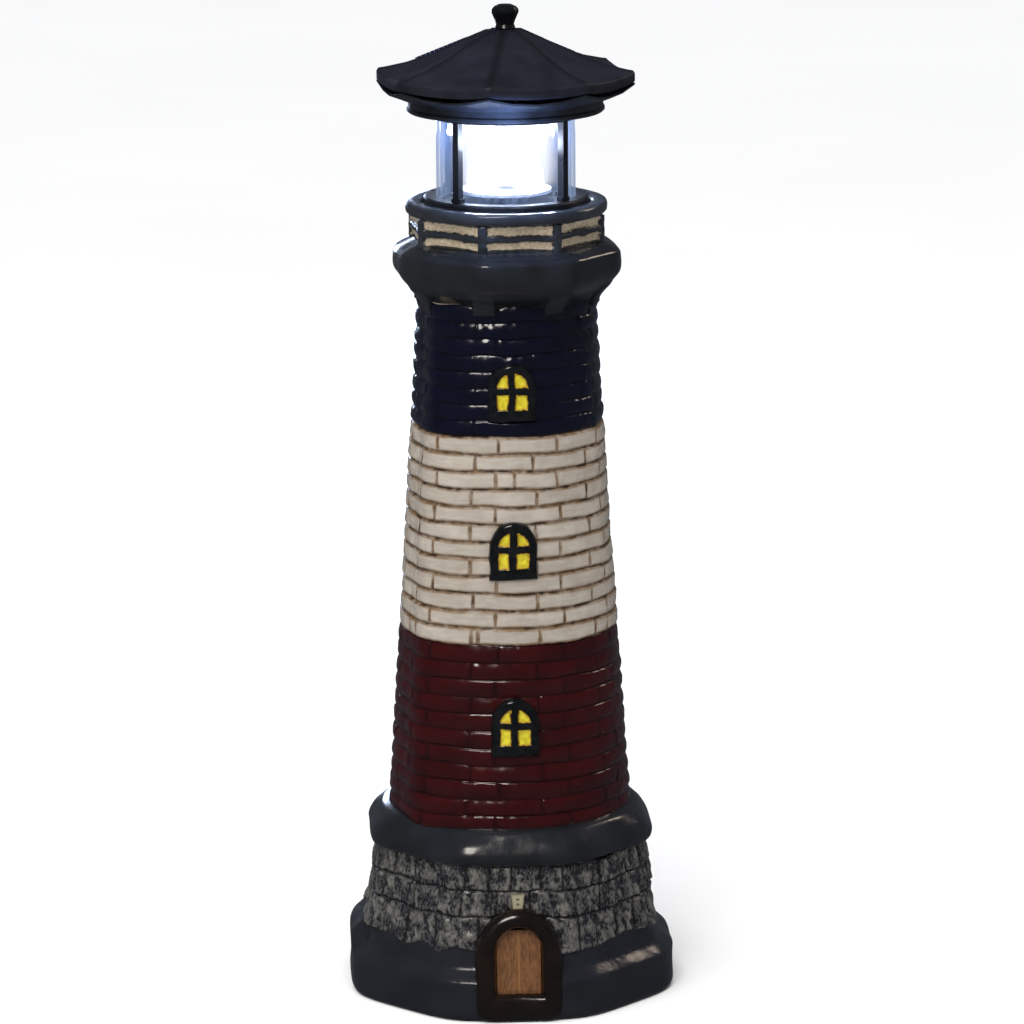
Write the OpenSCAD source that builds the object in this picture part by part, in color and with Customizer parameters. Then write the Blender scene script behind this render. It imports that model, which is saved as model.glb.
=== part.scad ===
// Garden lighthouse ornament: a hollow glazed ceramic tower with a lift-out solar lantern.
// Millimetres, +Z up. The origin is at the middle of the foot, on the ground. The door faces -Y.
// Angles around the tower are counted from the door, positive towards +X.

/* [Whole] */
// Height from the foot to the tip of the finial
total_h = 368.1; // [357:0.5:383]

/* [Base] */
// Width of the eight-sided plinth across its flats
plinth_w = 121.8; // [116:0.2:128]
// Height of the plinth's upright face
plinth_h = 15; // [12:0.5:18]
// Height of the sweep from the plinth in to the stonework
sweep_h = 10.5; // [9:0.1:13]
// Width across the flats at the foot of the stonework
stone_w = 107; // [102:0.2:110]
// Width across the flats at the top of the stonework
stone_top_w = 99.6; // [96:0.2:102]
// Height of the stonework
stone_h = 31; // [29:0.1:33]
// Width of the rolled collar across its flats
collar_w = 105.2; // [102:0.2:110]
// Height of the rolled collar
collar_h = 11.5; // [10:0.1:14]
// Thickness of the ceramic wall
wall = 5; // [4:0.1:6]

/* [Tower] */
// Radius of the round tower at its foot
shaft_r = 45.5; // [43:0.1:47]
// Radius of the round tower at its head
shaft_top_r = 33.3; // [32.6:0.1:35]
// Share of the round tower's height that is red
red_share = 0.357; // [0.33:0.001:0.39]
// Share of the round tower's height that is white
white_share = 0.396; // [0.37:0.001:0.42]
// Brick courses in the red band
red_courses = 11; // [9:1:13]
// Brick courses in the white band
white_courses = 12; // [10:1:14]
// Brick courses in the blue band
blue_courses = 8; // [6:1:9]
// Depth of the mortar lines
mortar_d = 0.55; // [0.3:0.05:0.8]
// How far the tower swells to the left of the windows
swell = 3.2; // [2:0.1:4]

/* [Windows and door] */
// Width of a window over its frame
window_w = 17.4; // [14:0.2:20]
// Height of a window over its frame
window_h = 21.3; // [19:0.1:24]
// How far a window frame stands proud of the bricks
window_proud = 1.2; // [0.8:0.1:1.8]
// Width of the bars of a window frame
window_bar = 2.7; // [2:0.1:3]
// Width of the door surround
porch_w = 31; // [28:0.2:34]
// Height of the door surround
porch_h = 41; // [38:0.2:44]
// Width of the door opening
door_w = 17.5; // [15:0.1:20]
// Height of the door sill
sill_h = 10.5; // [8:0.1:12]
// Height of the door opening above the sill
door_h = 24; // [21:0.1:26]

/* [Gallery] */
// Width of the gallery across its flats
gallery_w = 81.4; // [78:0.2:84]
// Height from the last course of bricks to the gallery's upright face
cove_h = 10; // [8:0.1:12]
// Height of the gallery's upright face
gallery_h = 6.4; // [5:0.1:8]
// Width of the railing wall across its flats
rail_w = 67; // [65:0.2:68]
// Height of the railing wall above the gallery
rail_h = 12.6; // [12:0.1:15]
// Turn of the gallery against the base
gallery_turn = 5.5; // [0:0.5:20]
// Outer radius of the ring round the mouth
ring_r = 37.1; // [36.8:0.1:40]
// Height of the ring round the mouth
ring_h = 4.8; // [4.4:0.1:6]

/* [Mouth] */
// Radius of the mouth that the lantern's rim drops into
mouth_r = 31; // [30.6:0.1:32]
// Depth of the mouth down to its ledge
mouth_d = 4.2; // [3.8:0.1:5]
// Radius of the throat under the ledge
throat_r = 26.4; // [26:0.1:27]

/* [Lantern base] */
// Clearance around the lantern base in the mouth and the throat
seat_gap = 0.7; // [0.4:0.1:1]
// Thickness of the rubber seat ring
seat_ring_h = 1.2; // [0.8:0.1:1.6]
// Thickness of the rim
rim_h = 4.8; // [4.4:0.1:5.4]
// Depth of the cup under the rim
cup_d = 44.6; // [43:0.1:52]
// Wall of the cup
cup_wall = 1.8; // [1.4:0.1:2]
// Thickness of the cup's floor
cup_floor = 3; // [2.8:0.1:3.6]
// Thickness of the deck that closes the cup
deck_h = 1.5; // [1.2:0.1:1.8]

/* [Lens and cage] */
// Outer radius of the clear lens
lens_r = 25.5; // [25:0.1:25.6]
// Wall of the lens
lens_wall = 1.5; // [1:0.1:1.6]
// Height of the lens
lens_h = 32.6; // [31.8:0.1:38]
// Width of a lantern post
post_w = 2.7; // [2.4:0.1:3.2]
// Depth of a lantern post
post_d = 2.6; // [2.4:0.1:3]
// Turn of the lantern posts against the base
post_turn = -43; // [-60:1:-30]

/* [Roof] */
// Radius of the roof at its eight corners
roof_r = 48; // [46.4:0.1:50]
// Height of the roof from the corners of the eaves to its cap
roof_rise = 15.6; // [14.5:0.1:18]
// Height of the upright edge of the eaves
eave_h = 4; // [3.4:0.1:5]
// How far the middle of each eave hangs below its corners
eave_sag = 2.7; // [0:0.1:3.2]
// Wall of the roof
roof_wall = 2.2; // [2:0.1:2.4]
// Turn of the roof against the base
roof_turn = 12; // [0:0.5:22]
// Outer radius of the drum under the roof
drum_r = 35.8; // [35:0.1:37]
// Height of the drum from its underside to the soffit
drum_h = 4.8; // [4.4:0.1:7]
// Fall of the soffit from the corners of the eaves to the drum
soffit_h = 6.3; // [5.5:0.1:7.4]
// Height of the finial
finial_h = 8.6; // [7:0.1:11]
// Radius of the finial's knob
finial_r = 5; // [4:0.1:6]
// Length of a solar cell up the slope
cell_l = 19; // [15:0.5:20]

/* [Light and beacon] */
// Radius of the frosted bulb cover
bulb_r = 12.4; // [11:0.1:13]
// Depth that the bulb cover hangs below the drum
bulb_h = 26.9; // [25:0.1:27]
// Inner radius of the turning reflector
mirror_r = 14.8; // [14.2:0.1:16]
// Sweep of the reflector round the bulb in degrees
mirror_sweep = 150; // [90:5:180]
// Module of the gear teeth
gear_module = 0.5; // [0.45:0.01:0.55]
// Teeth on the beacon's gear
beacon_teeth = 32; // [30:2:34]
// Teeth on the motor's pinion
pinion_teeth = 16; // [14:1:18]

/* [Power] */
// Radius of the rechargeable cell
battery_r = 7.1; // [6.6:0.1:7.2]
// Length of the rechargeable cell
battery_l = 28.5; // [26:0.1:29]
// Radius of the motor
motor_r = 7.7; // [7:0.1:8]
// Height of the motor
motor_h = 17.5; // [14:0.1:19]
// Travel of the slide switch
switch_travel = 2.4; // [1.6:0.1:2.8]

/* [Hidden] */
$fn = 96;

// Fits
eps = 0.01;          // overlap that joins or clears shapes in one solid
run_gap = 0.05;      // radial clearance of a running fit
set_gap = 0.02;      // radial clearance of a set pin
near_gap = 0.3;      // gap between pieces that sit side by side
lie_gap = 0.1;       // gap between pieces that lie on each other
sides = 8;
flat_to_corner = 1 / cos(180 / sides);

// Screws, all the same small self-tapping kind
screw_r = 1.1;
screw_head_r = 2.1;
screw_head_h = 1.5;
deck_screw_l = 7;
roof_screw_l = 8;

// Small steps of the stack
deck_slope_h = 4.4;
ring_step = 0.6;
shelf_d = 1.9;
lip_h = 0.4;

// What the brick tower leaves to the base, the gallery and the lantern
base_stack = plinth_h + sweep_h + stone_h + collar_h;
gallery_stack = cove_h + gallery_h + rail_h + ring_step + ring_h - mouth_d;
lamp_stack = seat_ring_h + rim_h - shelf_d + lens_h + 2 * lie_gap + drum_h - lip_h;
roof_stack = soffit_h + eave_h + roof_rise + lie_gap + finial_h;
shaft_h = total_h - base_stack - gallery_stack - lamp_stack - roof_stack;
red_h = shaft_h * red_share;
white_h = shaft_h * white_share;
blue_h = shaft_h - red_h - white_h;

// Levels of the ceramic
sweep_z = plinth_h;
stone_z = sweep_z + sweep_h;
collar_z = stone_z + stone_h;
shaft_z = collar_z + collar_h;
white_z = shaft_z + red_h;
blue_z = white_z + white_h;
neck_z = blue_z + blue_h;
gallery_z = neck_z + cove_h;
rail_z = gallery_z + gallery_h + deck_slope_h;
rail_top_z = gallery_z + gallery_h + rail_h;
ring_z = rail_top_z + ring_step;
ring_top_z = ring_z + ring_h;
shaft_bow = 1.15;    // slight hollow in the tower's taper
ledge_z = ring_top_z - mouth_d;

// Levels of the lantern
rim_z = ledge_z + seat_ring_h;
rim_top_z = rim_z + rim_h;
rim_r = mouth_r - seat_gap;
cup_r = throat_r - seat_gap;
cup_in_r = cup_r - cup_wall;
cup_z = rim_z - cup_d;
cup_floor_z = cup_z + cup_floor;
deck_r = lens_r - lens_wall - 0.4;
deck_z = rim_top_z - 4;
deck_top_z = deck_z + deck_h;
shelf_z = rim_top_z - shelf_d;
lens_z = shelf_z + lie_gap;
drum_z = lens_z + lens_h + lie_gap;
drum_floor = 2;
drum_floor_z = drum_z + drum_floor;
soffit_z = drum_z + drum_h - lip_h;
eave_z = soffit_z + soffit_h;
eave_top_z = eave_z + eave_h;
cap_z = eave_top_z + roof_rise;
cap_r = 3.6;

// Places of the works
gear_d = gear_module * (beacon_teeth + pinion_teeth) / 2;
gear_z = deck_top_z + 0.5;
gear_h = 2.2;
disc_r = mirror_r + 1.8;
disc_z = gear_z + gear_h + 0.8;
disc_h = 1.2;
hub_r = 3.3;
spindle_r = 1.5;
shaft_pin_r = 0.75;
deck_screw_r = 20.5;
deck_boss_r = 3.6;
deck_screw_angles = [-120, 0, 120];
board_r = 22;
board_z = drum_floor_z + 1.7;
board_h = 1.6;
roof_screw_r = 30.8;
lead_r = 0.6;
lead_at = 20.6;
lead_turn = post_turn + 180;
battery_y = 7;
battery_z = cup_z + 2.4 + battery_r;
contact_t = 0.5;
bay_x = battery_l / 2 + contact_t + 0.45;
bay_w = 2 * battery_r + 0.6;
switch_y = -12;

// ---- shared shapes ----

// Radius of the round tower at a height
function shaft_at(z) = shaft_top_r
    + (shaft_r - shaft_top_r) * pow(max(0, 1 - (z - shaft_z) / shaft_h), shaft_bow);

// Points that ease from [half width, height] p to q; bend over 1 leaves p slowly
function eased(p, q, bend, steps) = [
    for (i = [0:steps]) let (t = i / steps) [p[0] + (q[0] - p[0]) * pow(t, bend), p[1] + (q[1] - p[1]) * t]
];

// Points from p to q that leave p and reach q upright, with most of the way out in the middle
function bellied(p, q, steps) = [
    for (i = [0:steps]) let (t = i / steps) [p[0] + (q[0] - p[0]) * t * t * (3 - 2 * t), p[1] + (q[1] - p[1]) * t]
];

// Points of a quarter ellipse from p to q, upright at q when rising is true
function quarter(p, q, rising, steps) = [
    for (i = [1:steps]) let (a = 90 * i / steps)
        rising
            ? [p[0] + (q[0] - p[0]) * sin(a), p[1] + (q[1] - p[1]) * (1 - cos(a))]
            : [p[0] + (q[0] - p[0]) * (1 - cos(a)), p[1] + (q[1] - p[1]) * sin(a)]
];

// Places children at an angle around the tower, counted from the door
module around(angle) {
    rotate([0, 0, angle]) children();
}

// Eight-sided body from a list of [half width across flats, height], its corners eased by a turned body.
// The turned body's levels lie a little higher, so that no more than three faces meet at one point.
module eight_sided(outline, soften = 1.068) {
    top = outline[len(outline) - 1];
    low = outline[0];
    across = concat(outline, [for (i = [len(outline) - 1:-1:0]) [-outline[i][0], outline[i][1]]]);
    turned = concat(
        [[0, low[1] - 1], [low[0] * soften, low[1] - 1]],
        [for (p = outline) [p[0] * soften, p[1] + 0.17]],
        [[top[0] * soften, top[1] + 1], [0, top[1] + 1]]
    );
    intersection() {
        rotate_extrude() polygon(turned);
        for_side(0) slab(across);
        for_side(1) slab(across);
        for_side(2) slab(across);
        for_side(3) slab(across);
    }
}

module for_side(k) {
    rotate([0, 0, k * 360 / sides]) children();
}

module slab(across) {
    rotate([90, 0, 0]) linear_extrude(height = 2 * plinth_w, center = true) polygon(across);
}

// Arch outline with an elliptical head, standing on y = 0
module arch(w, h, head) {
    union() {
        translate([-w / 2, 0]) square([w, h - head]);
        intersection() {
            translate([0, h - head]) scale_head(w / 2, head);
            translate([-w / 2, h - head - eps]) square([w, head + 1]);
        }
    }
}

// Half-oval polygon of the given half width and height
module scale_head(half_w, head) {
    polygon([for (a = [0:6:180]) [half_w * cos(a), head * sin(a)]]);
}

// Prism that stands at the front, reaching from y = -far to y = -near
module front_prism(near, far) {
    translate([0, -near, 0]) rotate([90, 0, 0]) linear_extrude(height = far - near) children();
}

// Screw with its head's underside at z = 0 and its shank going up
module screw(length) {
    translate([0, 0, -screw_head_h]) cylinder(r = screw_head_r, h = screw_head_h, $fn = 32);
    cylinder(r = screw_r, h = length, $fn = 32);
}

// Ring of eight straight sides: corner radius r, corners at height z, middles sag lower
function eave_ring(r, z, sag) = [
    for (k = [0:sides - 1], j = [0:3])
        let (a = 360 / sides * (k + 0.5), b = 360 / sides * (k + 1.5), u = j / 4)
        [
            r * (sin(a) * (1 - u) + sin(b) * u),
            -r * (cos(a) * (1 - u) + cos(b) * u),
            z - sag * (1 - pow(2 * u - 1, 2))
        ]
];

// Round ring with as many points as eave_ring
function round_ring(r, z) = [
    for (i = [0:4 * sides - 1])
        let (a = 360 / sides / 2 + i * 360 / (4 * sides)) [r * sin(a), -r * cos(a), z]
];

// Closed body through a list of rings, from its top down; a loop joins the last ring to the first
module loft(rings, loop = false) {
    n = len(rings[0]);
    count = len(rings);
    points = [for (ring = rings, p = ring) p];
    last = loop ? count - 1 : count - 2;
    walls = [
        for (i = [0:last], j = [0:n - 1])
            let (i2 = (i + 1) % count, j2 = (j + 1) % n)
            each [
                [i * n + j, i2 * n + j2, i2 * n + j],
                [i * n + j, i * n + j2, i2 * n + j2]
            ]
    ];
    caps = loop ? [] : [
        [for (j = [n - 1:-1:0]) j],
        [for (j = [0:n - 1]) (count - 1) * n + j]
    ];
    polyhedron(points = points, faces = concat(walls, caps));
}

// ---- ceramic ----

plinth_draft = 0.3;

// Stonework in three courses, with a sunk joint over each
stone_joint_d = 1.2;
stone_joint_w = 1.5;
stone_lines = [stone_z, stone_z + stone_h * 0.387, stone_z + stone_h * 0.703, collar_z];

function stone_half(z) = stone_w / 2 + (stone_top_w - stone_w) / 2 * pow(max(0, z - stone_z) / stone_h, 0.8);

function stone_course(i) = let (low = stone_lines[i], high = stone_lines[i + 1]) [
    [stone_half(low + 0.8), low + 0.8],
    [stone_half(high - 0.8), high - 0.8],
    [stone_half(high) - stone_joint_d, high - 0.4],
    [stone_half(high) - stone_joint_d - 0.1, high - 0.1]
];

// Upright joints on each of the eight sides, at these shares of a side's width
stone_joints = [[-0.3, 0.16], [-0.12, 0.34], [-0.36, 0.04, 0.28]];

module stone_uprights() {
    for (k = [0:sides - 1], i = [0:2], share = stone_joints[i])
        around(360 / sides * k)
            translate([
                share * stone_w / 2 - stone_joint_w / 2,
                -stone_half(stone_lines[i + 1]) - 6 + stone_joint_d,
                stone_lines[i] + 0.45
            ])
                cube([stone_joint_w, 6, stone_lines[i + 1] - stone_lines[i] - 0.7]);
}

collar_round = 7.5;

base_outline = concat(
    [[plinth_w / 2 - 2.2, 0], [plinth_w / 2 - 0.7, 0.9], [plinth_w / 2, 2.6]],
    eased([plinth_w / 2 - plinth_draft, sweep_z], [stone_w / 2, stone_z], 1.35, 6),
    [for (i = [0:2]) each stone_course(i)],
    quarter([stone_top_w / 2, collar_z], [collar_w / 2, shaft_z - collar_round], true, 4),
    quarter([collar_w / 2, shaft_z - collar_round], [shaft_r - 0.3, shaft_z], false, 6)
);

cove_r = shaft_top_r * 0.93;
cove_z = neck_z - 2;
gallery_outline = concat(
    [[cove_r, cove_z - 4]],
    bellied([cove_r, cove_z], [gallery_w / 2, gallery_z], 7),
    [
        [gallery_w / 2, gallery_z + gallery_h],
        [gallery_w / 2 - 1.2, gallery_z + gallery_h + 1.4],
        [rail_w / 2 + 2.4, rail_z - 1],
        [rail_w / 2, rail_z],
        [rail_w / 2, ring_z + 1]
    ]
);

// One course of bricks as points up the outside of the tower
function course(z, h) = [
    [shaft_at(z) - mortar_d, z + 0.3],
    [shaft_at(z + 1) - mortar_d * 0.2, z + 0.9],
    [shaft_at(z + h / 2), z + h / 2],
    [shaft_at(z + h - 1) - mortar_d * 0.2, z + h - 0.9],
    [shaft_at(z + h) - mortar_d, z + h - 0.3]
];

function courses(z, h, count) = [for (i = [0:count - 1]) each course(z + i * h / count, h / count)];

shaft_outline = concat(
    [[shaft_r - 1, collar_z], [shaft_r - 1, shaft_z]],
    courses(shaft_z, red_h, red_courses),
    courses(white_z, white_h, white_courses),
    courses(blue_z, blue_h, blue_courses)
);

// Body turned about the tower's axis from a list of [radius, height], narrower by inset and raised by lift
module turned_tower(outline, inset, lift) {
    low = outline[0][1] + lift;
    high = outline[len(outline) - 1][1] + lift;
    rotate_extrude() polygon(concat(
        [[0, low]],
        [for (p = outline) [p[0] - inset, p[1] + lift]],
        [[0, high]]
    ));
}

// The casting swells to one side of the windows: the same courses again, narrower and off centre
swell_inset = 12;
swell_turn = -47;

module shaft_body() {
    turned_tower(concat(shaft_outline, [[cove_r - 1.5, neck_z + 2]]), 0, 0);
    around(swell_turn) translate([0, -swell_inset - swell, 0]) turned_tower(shaft_outline, swell_inset, 0.14);
}

module mouth_ring() {
    rotate_extrude() polygon([
        [0, rail_top_z - 2],
        [rail_w / 2, rail_top_z - 2],
        [rail_w / 2 + 2.6, ring_z - 0.4],
        [ring_r, ring_z + 2.2],
        [ring_r, ring_top_z - 0.8],
        [ring_r - 0.8, ring_top_z],
        [0, ring_top_z]
    ]);
}

post_count = sides;
rail_post_w = 3.4;
rail_bar_h = 2.6;

module railing() {
    around(gallery_turn) {
        for (k = [0:post_count - 1])
            around(360 / sides * (k + 0.5))
                translate([-rail_post_w / 2, -rail_w / 2 * flat_to_corner - 0.8, rail_z - 1.2])
                    cube([rail_post_w, 5, ring_z + 1 - rail_z + 1.2]);
        eight_sided([
            [rail_w / 2 - 1, rail_z + (rail_top_z - rail_z - rail_bar_h) / 2],
            [rail_w / 2 + 1.1, rail_z + (rail_top_z - rail_z - rail_bar_h) / 2 + 0.5],
            [rail_w / 2 + 1.1, rail_z + (rail_top_z - rail_z + rail_bar_h) / 2 - 0.5],
            [rail_w / 2 - 1, rail_z + (rail_top_z - rail_z + rail_bar_h) / 2]
        ]);
    }
}

corbel_w = 8;
corbel_h = 8;
corbel_top_z = cove_z + 0.7;

module corbels() {
    for (k = [0:sides - 1])
        around(gallery_turn + 360 / sides * (k + 0.5))
            translate([-corbel_w / 2, -shaft_top_r - 0.8, corbel_top_z - corbel_h])
                cube([corbel_w, 5, corbel_h]);
}

// Middle heights of the three windows
window_zs = [
    shaft_z + red_h * 0.563,
    white_z + white_h * 0.457,
    blue_z + blue_h * 0.343
];

module window(z) {
    face_r = shaft_at(z) + window_proud;
    pane_w = (window_w - 3 * window_bar) / 2;
    pane_h = (window_h - 3 * window_bar) / 2;
    pane_r = face_r - 0.6;
    difference() {
        intersection() {
            translate([0, 0, z - window_h / 2])
                front_prism(shaft_at(z) - 4, face_r + 2) arch(window_w, window_h, window_w * 0.5);
            translate([0, 0, z - window_h]) cylinder(r = face_r, h = 2 * window_h);
        }
        difference() {
            translate([0, 0, z - window_h / 2 + window_bar])
                front_prism(shaft_at(z) - 3, face_r + 3)
                    window_panes(pane_w, pane_h);
            translate([0, 0, z - window_h]) cylinder(r = pane_r, h = 2 * window_h);
        }
    }
}

module window_panes(pane_w, pane_h) {
    intersection() {
        arch(2 * pane_w + window_bar, 2 * pane_h + window_bar, pane_w + window_bar / 2);
        union() {
            for (side = [-1, 1], row = [0, 1])
                translate([
                    side * (pane_w + window_bar) / 2 - pane_w / 2,
                    row * (pane_h + window_bar)
                ])
                    square([pane_w, pane_h + eps]);
        }
    }
}

porch_y = plinth_w / 2 + 1.7;
porch_lean = porch_y - stone_w / 2 - 2.4;
porch_leaf_d = 2.2;

// Side outline of the porch: upright to the sill, then leaning back; inset moves it inwards
module porch_side(inset, depth) {
    rotate([90, 0, 90]) linear_extrude(height = 60, center = true) polygon([
        [-porch_y + inset, -1],
        [-porch_y + inset, sill_h + 1.5],
        [-porch_y + porch_lean + inset, porch_h + 0.5],
        [-porch_y + depth, porch_h + 0.5],
        [-porch_y + depth, -1]
    ]);
}

module porch() {
    intersection() {
        front_prism(40, porch_y + 2) arch(porch_w, porch_h, porch_h * 0.46);
        porch_side(0, 16);
    }
}

module door_recess() {
    difference() {
        translate([0, 0, sill_h]) front_prism(50, porch_y + 2) arch(door_w, door_h, door_w * 0.48);
        porch_side(porch_leaf_d, 16);
    }
}

plaque_w = 4.8;
plaque_h = 5.5;

module plaque() {
    translate([-plaque_w / 2, -stone_w / 2 - 0.9, porch_h - 0.6]) cube([plaque_w, 5, plaque_h]);
}

// Inside of the casting, open at the foot and up to the throat
module hollow() {
    foot_r = plinth_w / 2 - 6.5;
    rotate_extrude() polygon([
        [0, -1],
        [foot_r, -1],
        [foot_r, sweep_z - 2],
        [stone_w / 2 - wall, stone_z],
        [stone_top_w / 2 - wall, collar_z],
        [stone_top_w / 2 - wall, shaft_z - collar_round - 0.5],
        [shaft_at(shaft_z) - wall, shaft_z],
        [shaft_at(white_z) - wall, white_z],
        [shaft_at(blue_z) - wall, blue_z],
        [throat_r + 1.4, neck_z - 10],
        [throat_r, neck_z - 4],
        [throat_r, ledge_z],
        [mouth_r, ledge_z],
        [mouth_r, ring_top_z + 1],
        [0, ring_top_z + 1]
    ]);
}

module tower_casting() {
    color("#8f8878") difference() {
        union() {
            eight_sided(base_outline);
            shaft_body();
            around(gallery_turn) eight_sided(gallery_outline);
            corbels();
            railing();
            mouth_ring();
            for (z = window_zs) window(z);
            porch();
            plaque();
        }
        stone_uprights();
        hollow();
        door_recess();
    }
}

// ---- lantern base ----

module seat_ring() {
    color("#1c1c1c") translate([0, 0, ledge_z]) difference() {
        cylinder(r = rim_r - 0.6, h = seat_ring_h);
        translate([0, 0, -1]) cylinder(r = throat_r + 0.8, h = seat_ring_h + 2);
    }
}

module deck_screw_places() {
    for (angle = deck_screw_angles)
        around(angle) translate([0, -deck_screw_r, 0]) children();
}

module cage_places() {
    for (k = [0:3])
        around(post_turn + 90 * k) translate([0, -(lens_r + near_gap + post_d / 2), 0]) children();
}

peg_r = 0.9;
peg_h = 1.6;
bay_wall = 1.6;
tab_w = 4.8;
tab_l = 5.4;
tab_h = 1.5;
cover_screw_x = bay_x + tab_l / 2 + 0.9;

module lamp_cup() {
    color("#202226") difference() {
        union() {
            // rim that rests on the ledge, and the cup below it
            translate([0, 0, rim_z]) rotate_extrude() polygon([
                [0, 0], [rim_r, 0], [rim_r, rim_h - 0.7], [rim_r - 0.7, rim_h], [0, rim_h]
            ]);
            translate([0, 0, cup_z]) cylinder(r = cup_r, h = cup_d + 1);
        }
        difference() {
            cup_space();
            // bosses for the deck screws, and the shoulder that carries the deck
            deck_screw_places() translate([0, 0, deck_z - 10]) cylinder(r = deck_boss_r, h = 10 - lie_gap, $fn = 48);
            deck_shoulder();
            battery_bay();
        }
        // shelf for the lens and seat for the deck
        translate([0, 0, shelf_z]) cylinder(r = lens_r + 0.2, h = 10);
        translate([0, 0, deck_z - lie_gap]) cylinder(r = deck_r + 0.2, h = 10);
        deck_screw_places() translate([0, 0, deck_z - 8]) cylinder(r = screw_r + run_gap, h = 9, $fn = 32);
        cage_places() translate([0, 0, rim_top_z - peg_h - 0.2])
            cylinder(r = peg_r + set_gap, h = peg_h + 1, $fn = 32);
        cover_opening();
        switch_slot();
    }
}

module cup_space() {
    translate([0, 0, cup_floor_z]) cylinder(r = cup_in_r, h = cup_d + rim_h);
}

module deck_shoulder() {
    translate([0, 0, deck_z - 2.4]) difference() {
        cylinder(r = cup_r, h = 2.4 - lie_gap);
        translate([0, 0, -1]) cylinder(r = deck_r - 1, h = 5);
    }
}

module battery_bay() {
    for (side = [-1, 1])
        translate([side * (bay_x + bay_wall / 2) - bay_wall / 2, battery_y - bay_w / 2, cup_floor_z - 1])
            cube([bay_wall, bay_w, battery_r + 4]);
}

// Opening in the cup's floor for the battery, with a sunk seat for each tab of its cover
module cover_opening() {
    translate([-bay_x, battery_y - bay_w / 2, cup_z - 1]) cube([2 * bay_x, bay_w, cup_floor + 1.5]);
    for (side = [-1, 1]) {
        translate([side * bay_x - tab_l - 0.2, battery_y - tab_w / 2 - 0.2, cup_z - 1])
            cube([2 * tab_l + 0.4, tab_w + 0.4, tab_h + 1 + 2 * lie_gap]);
        translate([side * cover_screw_x, battery_y, cup_z])
            cylinder(r = screw_r + run_gap, h = cup_floor - 0.4, $fn = 32);
    }
}

knob_l = 3;
knob_w = 2;
stem_l = 1.4;
stem_w = 1;

module switch_slot() {
    slot_l = knob_l + switch_travel + 0.6;
    translate([-slot_l / 2, switch_y - knob_w / 2 - 0.3, cup_z - 1])
        cube([slot_l, knob_w + 0.6, cup_floor + 2]);
}

module lamp_deck() {
    color("#2a2c30") difference() {
        union() {
            translate([0, 0, deck_z]) cylinder(r = deck_r, h = deck_h);
            // boss for the spindle and socket for the motor
            translate([0, 0, deck_z - 3]) cylinder(r = 3.4, h = 4);
            translate([0, gear_d, deck_z - 6]) cylinder(r = motor_r + 1.6, h = 7);
        }
        translate([0, gear_d, deck_z - 7]) cylinder(r = motor_r + near_gap, h = 7);
        translate([0, 0, deck_z - 4]) cylinder(r = spindle_r + set_gap, h = 8);
        translate([0, gear_d, deck_z - 1]) cylinder(r = shaft_pin_r + 0.6, h = 4);
        deck_screw_places() translate([0, 0, deck_z - 1]) cylinder(r = screw_r + 0.2, h = 4, $fn = 32);
        around(lead_turn) translate([0, -lead_at, deck_z - 1]) cylinder(r = lead_r + near_gap, h = 4, $fn = 32);
    }
}

module deck_screws() {
    color("#9a9a9a") deck_screw_places()
        translate([0, 0, deck_top_z + lie_gap / 2]) mirror([0, 0, 1]) screw(deck_screw_l);
}

// ---- lens, cage and roof ----

module lens() {
    color("#dfefff", 0.35) translate([0, 0, lens_z]) difference() {
        cylinder(r = lens_r, h = lens_h);
        translate([0, 0, -1]) cylinder(r = lens_r - lens_wall, h = lens_h + 2);
    }
}

cage_ring_h = 1.6;
foot_w = 4.2;
foot_h = 1.5;

module lantern_cage() {
    low = rim_top_z + lie_gap;
    high = drum_z - lie_gap;
    color("#17181c") union() {
        cage_places() {
            translate([-post_w / 2, -post_d / 2, low]) cube([post_w, post_d, high - low]);
            translate([-foot_w / 2, -post_d / 2, low]) cube([foot_w, post_d, foot_h]);
            translate([0, 0, low - peg_h]) cylinder(r = peg_r, h = peg_h + 1, $fn = 32);
            translate([0, 0, high - 1]) cylinder(r = peg_r, h = peg_h + 1, $fn = 32);
        }
        translate([0, 0, high - cage_ring_h]) difference() {
            cylinder(r = lens_r + near_gap + post_d, h = cage_ring_h);
            translate([0, 0, -1]) cylinder(r = lens_r + near_gap, h = cage_ring_h + 2);
        }
    }
}

module roof_screw_places() {
    for (k = [0:3])
        around(roof_turn + 360 / sides * (2 * k + 0.5)) translate([0, -roof_screw_r, 0]) children();
}

drum_wall = 2;

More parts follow.
